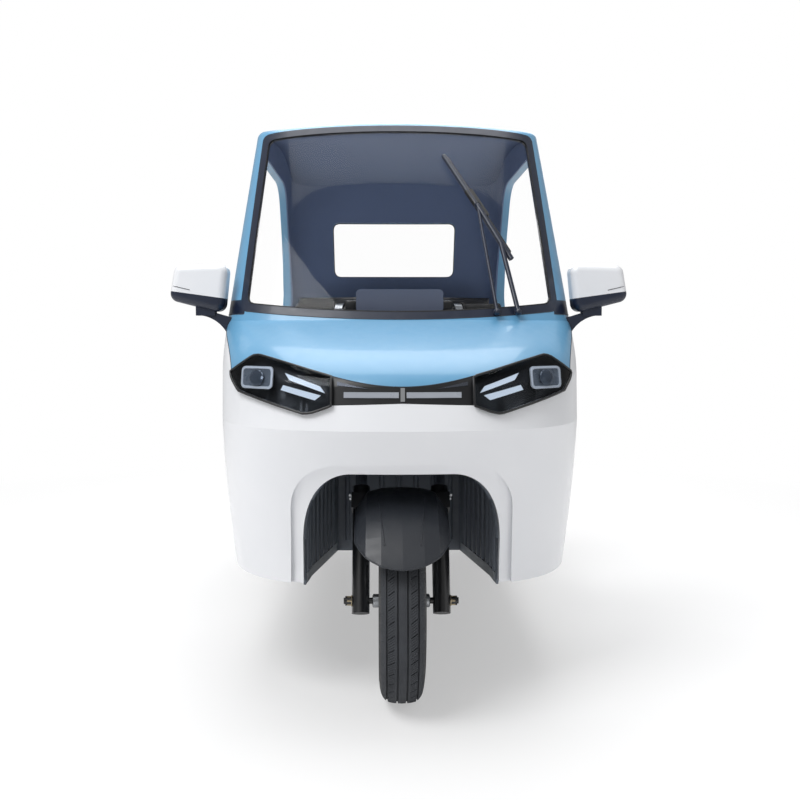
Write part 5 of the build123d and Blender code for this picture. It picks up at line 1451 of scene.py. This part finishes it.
# ---- cab ------------------------------------------------------------------------------------------
@dataclass
class Cushion:
    """One upholstered pad, blown up as sealed cloth and sewn with piping and a row of stitches."""

    node: str
    body: str
    seams: int
    voxel: float
    rise: float
    up: Vector
    fine: bool = True
    frames: int = 20
    pressure: float = 4.0
    solid: int = 0
    shrink: float = 3.0 * MM
    base: float = 6.0 * MM
    corner: float = 22.0 * MM
    piping_inset: float = 14.0 * MM
    thread_inset: float = 21.0 * MM
    row_inset: float = 26.0 * MM
    row_shift: float = 5.0 * MM
    spacing: float = 12.0 * MM
    piping_r: float = 2.6 * MM

    def source(self) -> tuple[bpy.types.Mesh, Vector, Vector]:
        """A slightly smaller copy of the pad's CAD solid, with its box."""
        bm = bmesh.new()
        bm.from_mesh(frame["nodes"][self.node].data)
        bmesh.ops.remove_doubles(bm, verts=bm.verts[:], dist=1e-5)
        islands = self.islands(bm)
        islands.sort(key=lambda verts: sum(v.co.z for v in verts) / len(verts))
        keep = set(islands[self.solid])
        bmesh.ops.delete(bm, geom=[v for v in bm.verts if v not in keep], context="VERTS")
        low = Vector([min(v.co[i] for v in bm.verts) for i in range(3)])
        high = Vector([max(v.co[i] for v in bm.verts) for i in range(3)])
        middle = (low + high) / 2.0
        for vert in bm.verts:
            for i in range(3):
                reach = (high[i] - low[i]) / 2.0
                vert.co[i] = middle[i] + (vert.co[i] - middle[i]) * (1.0 - self.shrink / reach)
        mesh = bpy.data.meshes.new(self.node + "_pad")
        bm.to_mesh(mesh)
        bm.free()
        return mesh, low, high

    @staticmethod
    def islands(bm: bmesh.types.BMesh) -> list[list[bmesh.types.BMVert]]:
        """The separate solids of a mesh."""
        left, groups = set(bm.verts), []
        for first in bm.verts:
            if first not in left:
                continue
            left.discard(first)
            stack, group = [first], []
            while stack:
                vert = stack.pop()
                group.append(vert)
                for edge in vert.link_edges:
                    other = edge.other_vert(vert)
                    if other in left:
                        left.discard(other)
                        stack.append(other)
            groups.append(group)
        return groups

    def seam_places(self, low: Vector, high: Vector) -> list[float]:
        """Where the lengthwise seams lie across the pad."""
        return [low.x + (high.x - low.x) * (k + 1) / (self.seams + 1) for k in range(self.seams)]

    def blow_up(self, pad: Thing, low: Vector, high: Vector) -> None:
        """Presses air into the sealed cloth and keeps each point within the pad's rise."""
        remesh = pad.modifiers.new("remesh", "REMESH")
        remesh.mode = "VOXEL"
        remesh.voxel_size = self.voxel
        self.settle(pad)
        rest = [v.co.copy() for v in pad.data.vertices]
        pins = pad.vertex_groups.new(name="sewn")
        for i, spot in enumerate(rest):
            near = min((abs(spot.x - place) for place in self.seam_places(low, high)), default=1.0)
            deep = (spot - low).dot(self.up) if sum(self.up) > 0.0 else (high - spot).dot(-self.up)
            if deep < self.base or near < self.voxel * 0.75:
                pins.add([i], 1.0, "REPLACE")
        cloth = pad.modifiers.new("cloth", "CLOTH")
        cloth.settings.use_pressure = True
        cloth.settings.uniform_pressure_force = self.pressure
        cloth.settings.effector_weights.gravity = 0.0
        cloth.settings.vertex_group_mass = "sewn"
        cloth.settings.quality = 4
        cloth.collision_settings.use_self_collision = False
        cloth.point_cache.frame_start = 1
        cloth.point_cache.frame_end = self.frames
        for step in range(1, self.frames + 1):
            bpy.context.scene.frame_set(step)
        self.settle(pad)
        bpy.context.scene.frame_set(1)
        for vert, spot in zip(pad.data.vertices, rest):
            move = vert.co - spot
            if move.length > self.rise:
                vert.co = spot + move.normalized() * self.rise

    @staticmethod
    def settle(pad: Thing) -> None:
        """Applies the pad's modifiers to its mesh."""
        mesh = evaluated(pad)
        pad.modifiers.clear()
        pad.data = mesh

    def build(self) -> Pieces:
        """Makes the pad, its piping and its stitches."""
        mesh, low, high = self.source()
        name = f"{self.node}_{self.solid}_sewn"
        pad = link(name, mesh)
        self.blow_up(pad, low, high)
        if self.fine:
            pad.modifiers.new("smooth", "SUBSURF").levels = 1
            self.settle(pad)
        adopt(pad, "leather", Slots.LEATHER, self.body, [self.node], 60.0)
        tree = BVHTree.FromPolygons([v.co for v in pad.data.vertices], [tuple(p.vertices) for p in pad.data.polygons])
        return [pad, *self.sewing(name, tree, low, high)]

    @property
    def across(self) -> int:
        """The axis of the pad's face that isn't x: 1 for a seat, 2 for a backrest."""
        return 1 if abs(self.up.z) > 0.5 else 2

    def edge_loop(self, low: Vector, high: Vector, inset: float) -> Outline:
        """A rounded rectangle inside the pad's outline, seen along its up direction."""
        across = self.across
        middle, half = (low + high) / 2.0, (high - low) / 2.0
        return rounded((middle.x, middle[across]), (half.x - inset, half[across] - inset), self.corner, 6)

    def onto(self, tree: BVHTree, a: float, b: float, low: Vector, high: Vector) -> Vector:
        """The pad's surface over one place, seen along its up direction."""
        if self.across == 1:
            start = Vector((a, b, high.z + 0.1))
        else:
            start = Vector((a, low.y - 0.1 if self.up.y < 0.0 else high.y + 0.1, b))
        place = tree.ray_cast(start, -self.up)[0]
        return place if place is not None else tree.find_nearest(start)[0]

    def sewing(self, name: str, tree: BVHTree, low: Vector, high: Vector) -> Pieces:
        """Piping round the pad's edge and stitches inside it and beside each seam."""
        def lay(points: Outline) -> list[Vector]:
            """The pad's surface over an outline."""
            return [self.onto(tree, a, b, low, high) for a, b in points]

        insets = (self.piping_inset, self.thread_inset)
        piping, thread = [lay(dense(self.edge_loop(low, high, inset), self.spacing)) for inset in insets]
        across = self.across
        rows = []
        for place in self.seam_places(low, high):
            for shift in (-self.row_shift, self.row_shift):
                first, last = low[across] + self.row_inset, high[across] - self.row_inset
                rows.append(lay([(place + shift, first + (last - first) * k / 30.0) for k in range(31)]))
        made = [
            beads(name + "_piping", [piping], self.piping_r, "leather", Slots.LEATHER, self.body, True),
            stitches(name + "_stitches", [thread], self.body, True),
        ]
        if rows:
            made.append(stitches(name + "_seam_stitches", rows, self.body))
        return made


@dataclass
class FloorMat:
    """A ribbed rubber mat in the footwell."""

    half_width: float = 360.0 * MM
    front: float = 505.0
    rear: float = 675.0
    ribs: int = 15
    margin: float = 20.0 * MM
    thick: float = 3.0 * MM
    rib_r: float = 1.8 * MM

    def build(self) -> Pieces:
        """Makes the mat and its ribs."""
        x, front, rear = self.half_width, row_y(self.front), row_y(self.rear)
        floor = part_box("floor_pan")[1].z
        mat = Shape().block((-x, front, floor - 0.5 * MM), (x, rear, floor + self.thick), 1.2 * MM)
        lines = []
        for k in range(self.ribs):
            y = front + (rear - front) * (k + 0.5) / self.ribs
            start, end = self.margin - x, x - self.margin
            lines.append([Vector((start + (end - start) * j / 8.0, y, floor + self.thick)) for j in range(9)])
        return [mat.publish("floor_mat", "rubber", Slots.RUBBER),
                beads("floor_mat_ribs", lines, self.rib_r, "rubber", Slots.RUBBER)]


# ---- tail -----------------------------------------------------------------------------------------
@dataclass
class TailFittings:
    """Lamp segments, the blank plate with its screws, and the U-bolts of the leaf springs."""

    # Each band of a tail lamp: its name, its finish, and its foot and head as shares of the lamp's height.
    bands: Sequence[tuple[str, str, float, float]] = (
        ("tail_lamp_indicators", "amber", 0.06, 0.3), ("tail_lamp_reversing", "daylight", 0.33, 0.44))
    band_lift: float = 0.8 * MM
    band_thick: float = 2.4 * MM
    plate_inset: float = 5.0 * MM
    plate_thick: float = 1.6 * MM
    screw_x: float = 60.0 * MM
    screw_drop: float = 30.0 * MM
    rail_x: float = 250.0 * MM
    bolt_r: float = 35.0 * MM
    bolt_shift: float = 23.0 * MM
    bolt_rise: float = 52.0 * MM
    bolt_thread_r: float = 4.0 * MM

    def lamps(self) -> Pieces:
        """Amber and clear bands in each tail lamp."""
        low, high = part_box("tail_lamps")
        height = high.z - low.z
        made = []
        for name, finish, start, end in self.bands:
            cuts = [((0.0, 0.0, low.z + height * start), -TO_TOP), ((0.0, 0.0, low.z + height * end), TO_TOP)]
            band = veneer("tail_lamps", astern, self.band_lift, self.band_thick, cuts)
            made.append(band.publish(name, finish, Slots.RED))
        return made

    def plate(self) -> Pieces:
        """The blank number plate and its two screws."""
        low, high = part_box("plate_bracket")
        face, inset = high.y + self.plate_thick, self.plate_inset
        shape = Shape().block((low.x + inset, high.y - 0.5 * MM, low.z + inset),
                              (high.x - inset, face, high.z - inset), 0.5 * MM)
        spots = [(Vector((x, face, high.z - self.screw_drop)), TO_BACK) for x in (-self.screw_x, self.screw_x)]
        return [shape.publish("plate_blank", "plate", Slots.TRIM),
                screws("plate_screws", spots, 4.0 * MM, 3.0 * MM, Slots.CHROME, corners=14)]

    def springs(self) -> Thing:
        """U-bolts over the axle beside each leaf spring."""
        centre = node_middle("rear_tyre_right")
        lines = []
        for side in SIDES:
            for shift in (-self.bolt_shift, self.bolt_shift):
                middle = Vector((side * self.rail_x + shift, centre.y, centre.z))
                arc = [middle - about_axle(math.pi * k / 12.0) * self.bolt_r for k in range(13)]
                top = centre.z + self.bolt_rise
                lines.append([Vector((middle.x, arc[0].y, top)), *arc, Vector((middle.x, arc[-1].y, top))])
        return beads("spring_u_bolts", lines, self.bolt_thread_r, "zinc", Slots.STEEL)

    def build(self) -> Pieces:
        """Makes the tail's fittings."""
        return [*self.lamps(), *self.plate(), self.springs()]


# ---- studio ---------------------------------------------------------------------------------------
@dataclass(frozen=True)
class Softbox:
    """One soft lamp of the studio."""

    name: str
    place: Point
    aim: Point
    size: float
    watts: float


@dataclass
class Studio:
    """White room, pale floor, four soft lamps and the camera."""

    lamps: Sequence[Softbox] = (
        Softbox("key", (-2.0, -2.7, 4.0), (0.0, -0.5, 0.7), 2.2, 126.0),
        Softbox("fill", (2.9, -2.0, 1.9), (0.0, 0.0, 0.7), 2.2, 8.0),
        Softbox("top", (0.0, 0.5, 4.1), (0.0, 0.2, 0.0), 3.2, 112.0),
        Softbox("rear", (0.4, 3.6, 2.6), (0.0, 0.6, 0.8), 2.6, 58.0),
    )
    sky: float = 0.36
    floor_glow: float = 0.35
    floor_size: float = 80.0
    fade_start: float = 1.2
    fade_end: float = 3.6
    fade_least: float = 0.42
    camera_place: Point = (-0.042, -3.3075, 0.937)
    camera_pitch: float = 85.83
    camera_yaw: float = -0.93
    lens: float = 43.2

    def light(self) -> None:
        """Hangs the lamps."""
        for box in self.lamps:
            data = bpy.data.lights.new(box.name, "AREA")
            data.size = box.size
            data.energy = box.watts
            lamp = link(box.name, data)
            lamp.location = box.place
            run = Vector(box.aim) - Vector(box.place)
            lamp.rotation_euler = run.to_track_quat("-Z", "Y").to_euler()

    def room(self) -> None:
        """A plain white world that lights softly and stays white for the camera and in reflections."""
        world = bpy.data.worlds.new("studio_room")
        bpy.context.scene.world = world
        world.use_nodes = True
        tree = NodeKit(world.node_tree)
        tree.tree.nodes.clear()
        path = tree.add("ShaderNodeLightPath").outputs
        seen = tree.math("MAXIMUM", path["Is Camera Ray"], path["Is Transmission Ray"])
        strength = tree.add("ShaderNodeMapRange", {"Value": seen, "To Min": self.sky, "To Max": 1.0}).outputs["Result"]
        shell = tree.add("ShaderNodeBackground", {"Color": (1.0, 1.0, 1.0, 1.0), "Strength": strength})
        tree.add("ShaderNodeOutputWorld", {"Surface": shell.outputs["Background"]})

    def floor(self) -> None:
        """A wide pale floor under the wheels that turns white towards the horizon."""
        low, _high = REST_BOUNDS
        bpy.ops.mesh.primitive_plane_add(size=self.floor_size, location=(0.0, 0.0, low.z))
        floor = bpy.context.object
        floor.name = "studio_floor"
        graph = Graph("floor_vinyl_rolled")
        place = graph.add("ShaderNodeTexCoord").outputs["Object"]
        tone = graph.tone(place, 400.0, "#FAFAFA", "#F7F7F8")
        shell = graph.add("ShaderNodeBsdfPrincipled", {"Base Color": tone, "Roughness": 0.9})
        far = graph.add("ShaderNodeVectorMath", {0: place}, operation="LENGTH").outputs["Value"]
        fade = graph.add("ShaderNodeMapRange", {
            "Value": far, "From Min": self.fade_start, "From Max": self.fade_end, "To Min": self.fade_least,
            "To Max": 1.0})
        seen = graph.add("ShaderNodeLightPath").outputs["Is Camera Ray"]
        kept = graph.add("ShaderNodeMapRange", {"Value": seen, "To Min": self.floor_glow, "To Max": 1.0})
        share = graph.math("MULTIPLY", fade.outputs["Result"], kept.outputs["Result"])
        white = graph.add("ShaderNodeEmission", {"Strength": 1.0}).outputs["Emission"]
        mix = graph.add("ShaderNodeMixShader", {0: share, 1: shell.outputs["BSDF"], 2: white})
        floor.data.materials.append(graph.close(mix.outputs["Shader"]))

    def camera(self) -> None:
        """The camera, a little left of the middle and a little below eye level."""
        data = bpy.data.cameras.new("camera")
        data.lens = self.lens
        thing = link("camera", data)
        thing.location = self.camera_place
        thing.rotation_euler = (math.radians(self.camera_pitch), 0.0, math.radians(self.camera_yaw))
        bpy.context.scene.camera = thing

    def build(self) -> None:
        """Sets up the studio."""
        self.light()
        self.room()
        self.floor()
        self.camera()
        bpy.context.scene.view_settings.view_transform = "Standard"


# ---- the whole ------------------------------------------------------------------------------------
NODE_FINISH = {
    "dashboard": "lining", "battery_pack": "frame", "instrument_cluster": "cluster", "wheel_well_liner": "well",
}


def paint_nodes() -> None:
    """Gives every CAD node the finish of its slot, or its own where it has one."""
    for row in frame["record"]["subparts"]:
        node = frame["nodes"][row["node"]]
        slot = Slots(row["material_slot"])
        key = "pane" if slot is Slots.GLASS else NODE_FINISH.get(row["node"], SLOT_FINISH.get(slot, "plastic"))
        node.data.materials.clear()
        node.data.materials.append(WORKSHOP.get(key))


def main() -> None:
    """Builds the scene."""
    random.seed(SEED)
    bpy.context.scene.unit_settings.system = "METRIC"
    paint_nodes()
    parts = [
        Tyre(), WheelFittings(), Headlamps(), LampStrip(), BodySeams(), WheelWell(), ForkFittings(), Controls(),
        Mirrors(), FloorMat(), TailFittings(),
        Cushion("driver_cushion", "seat", 2, 6.0 * MM, 9.0 * MM, TO_TOP),
        Cushion("driver_backrest", "chassis", 2, 6.0 * MM, 8.0 * MM, TO_FRONT),
        Cushion("bench_cushions", "chassis", 1, 7.0 * MM, 9.0 * MM, TO_TOP, fine=False, solid=0),
        Cushion("bench_cushions", "chassis", 1, 7.0 * MM, 9.0 * MM, TO_FRONT, fine=False, solid=1),
    ]
    for part in parts:
        part.build()
    Studio().build()


if __name__ == "__main__":
    main()
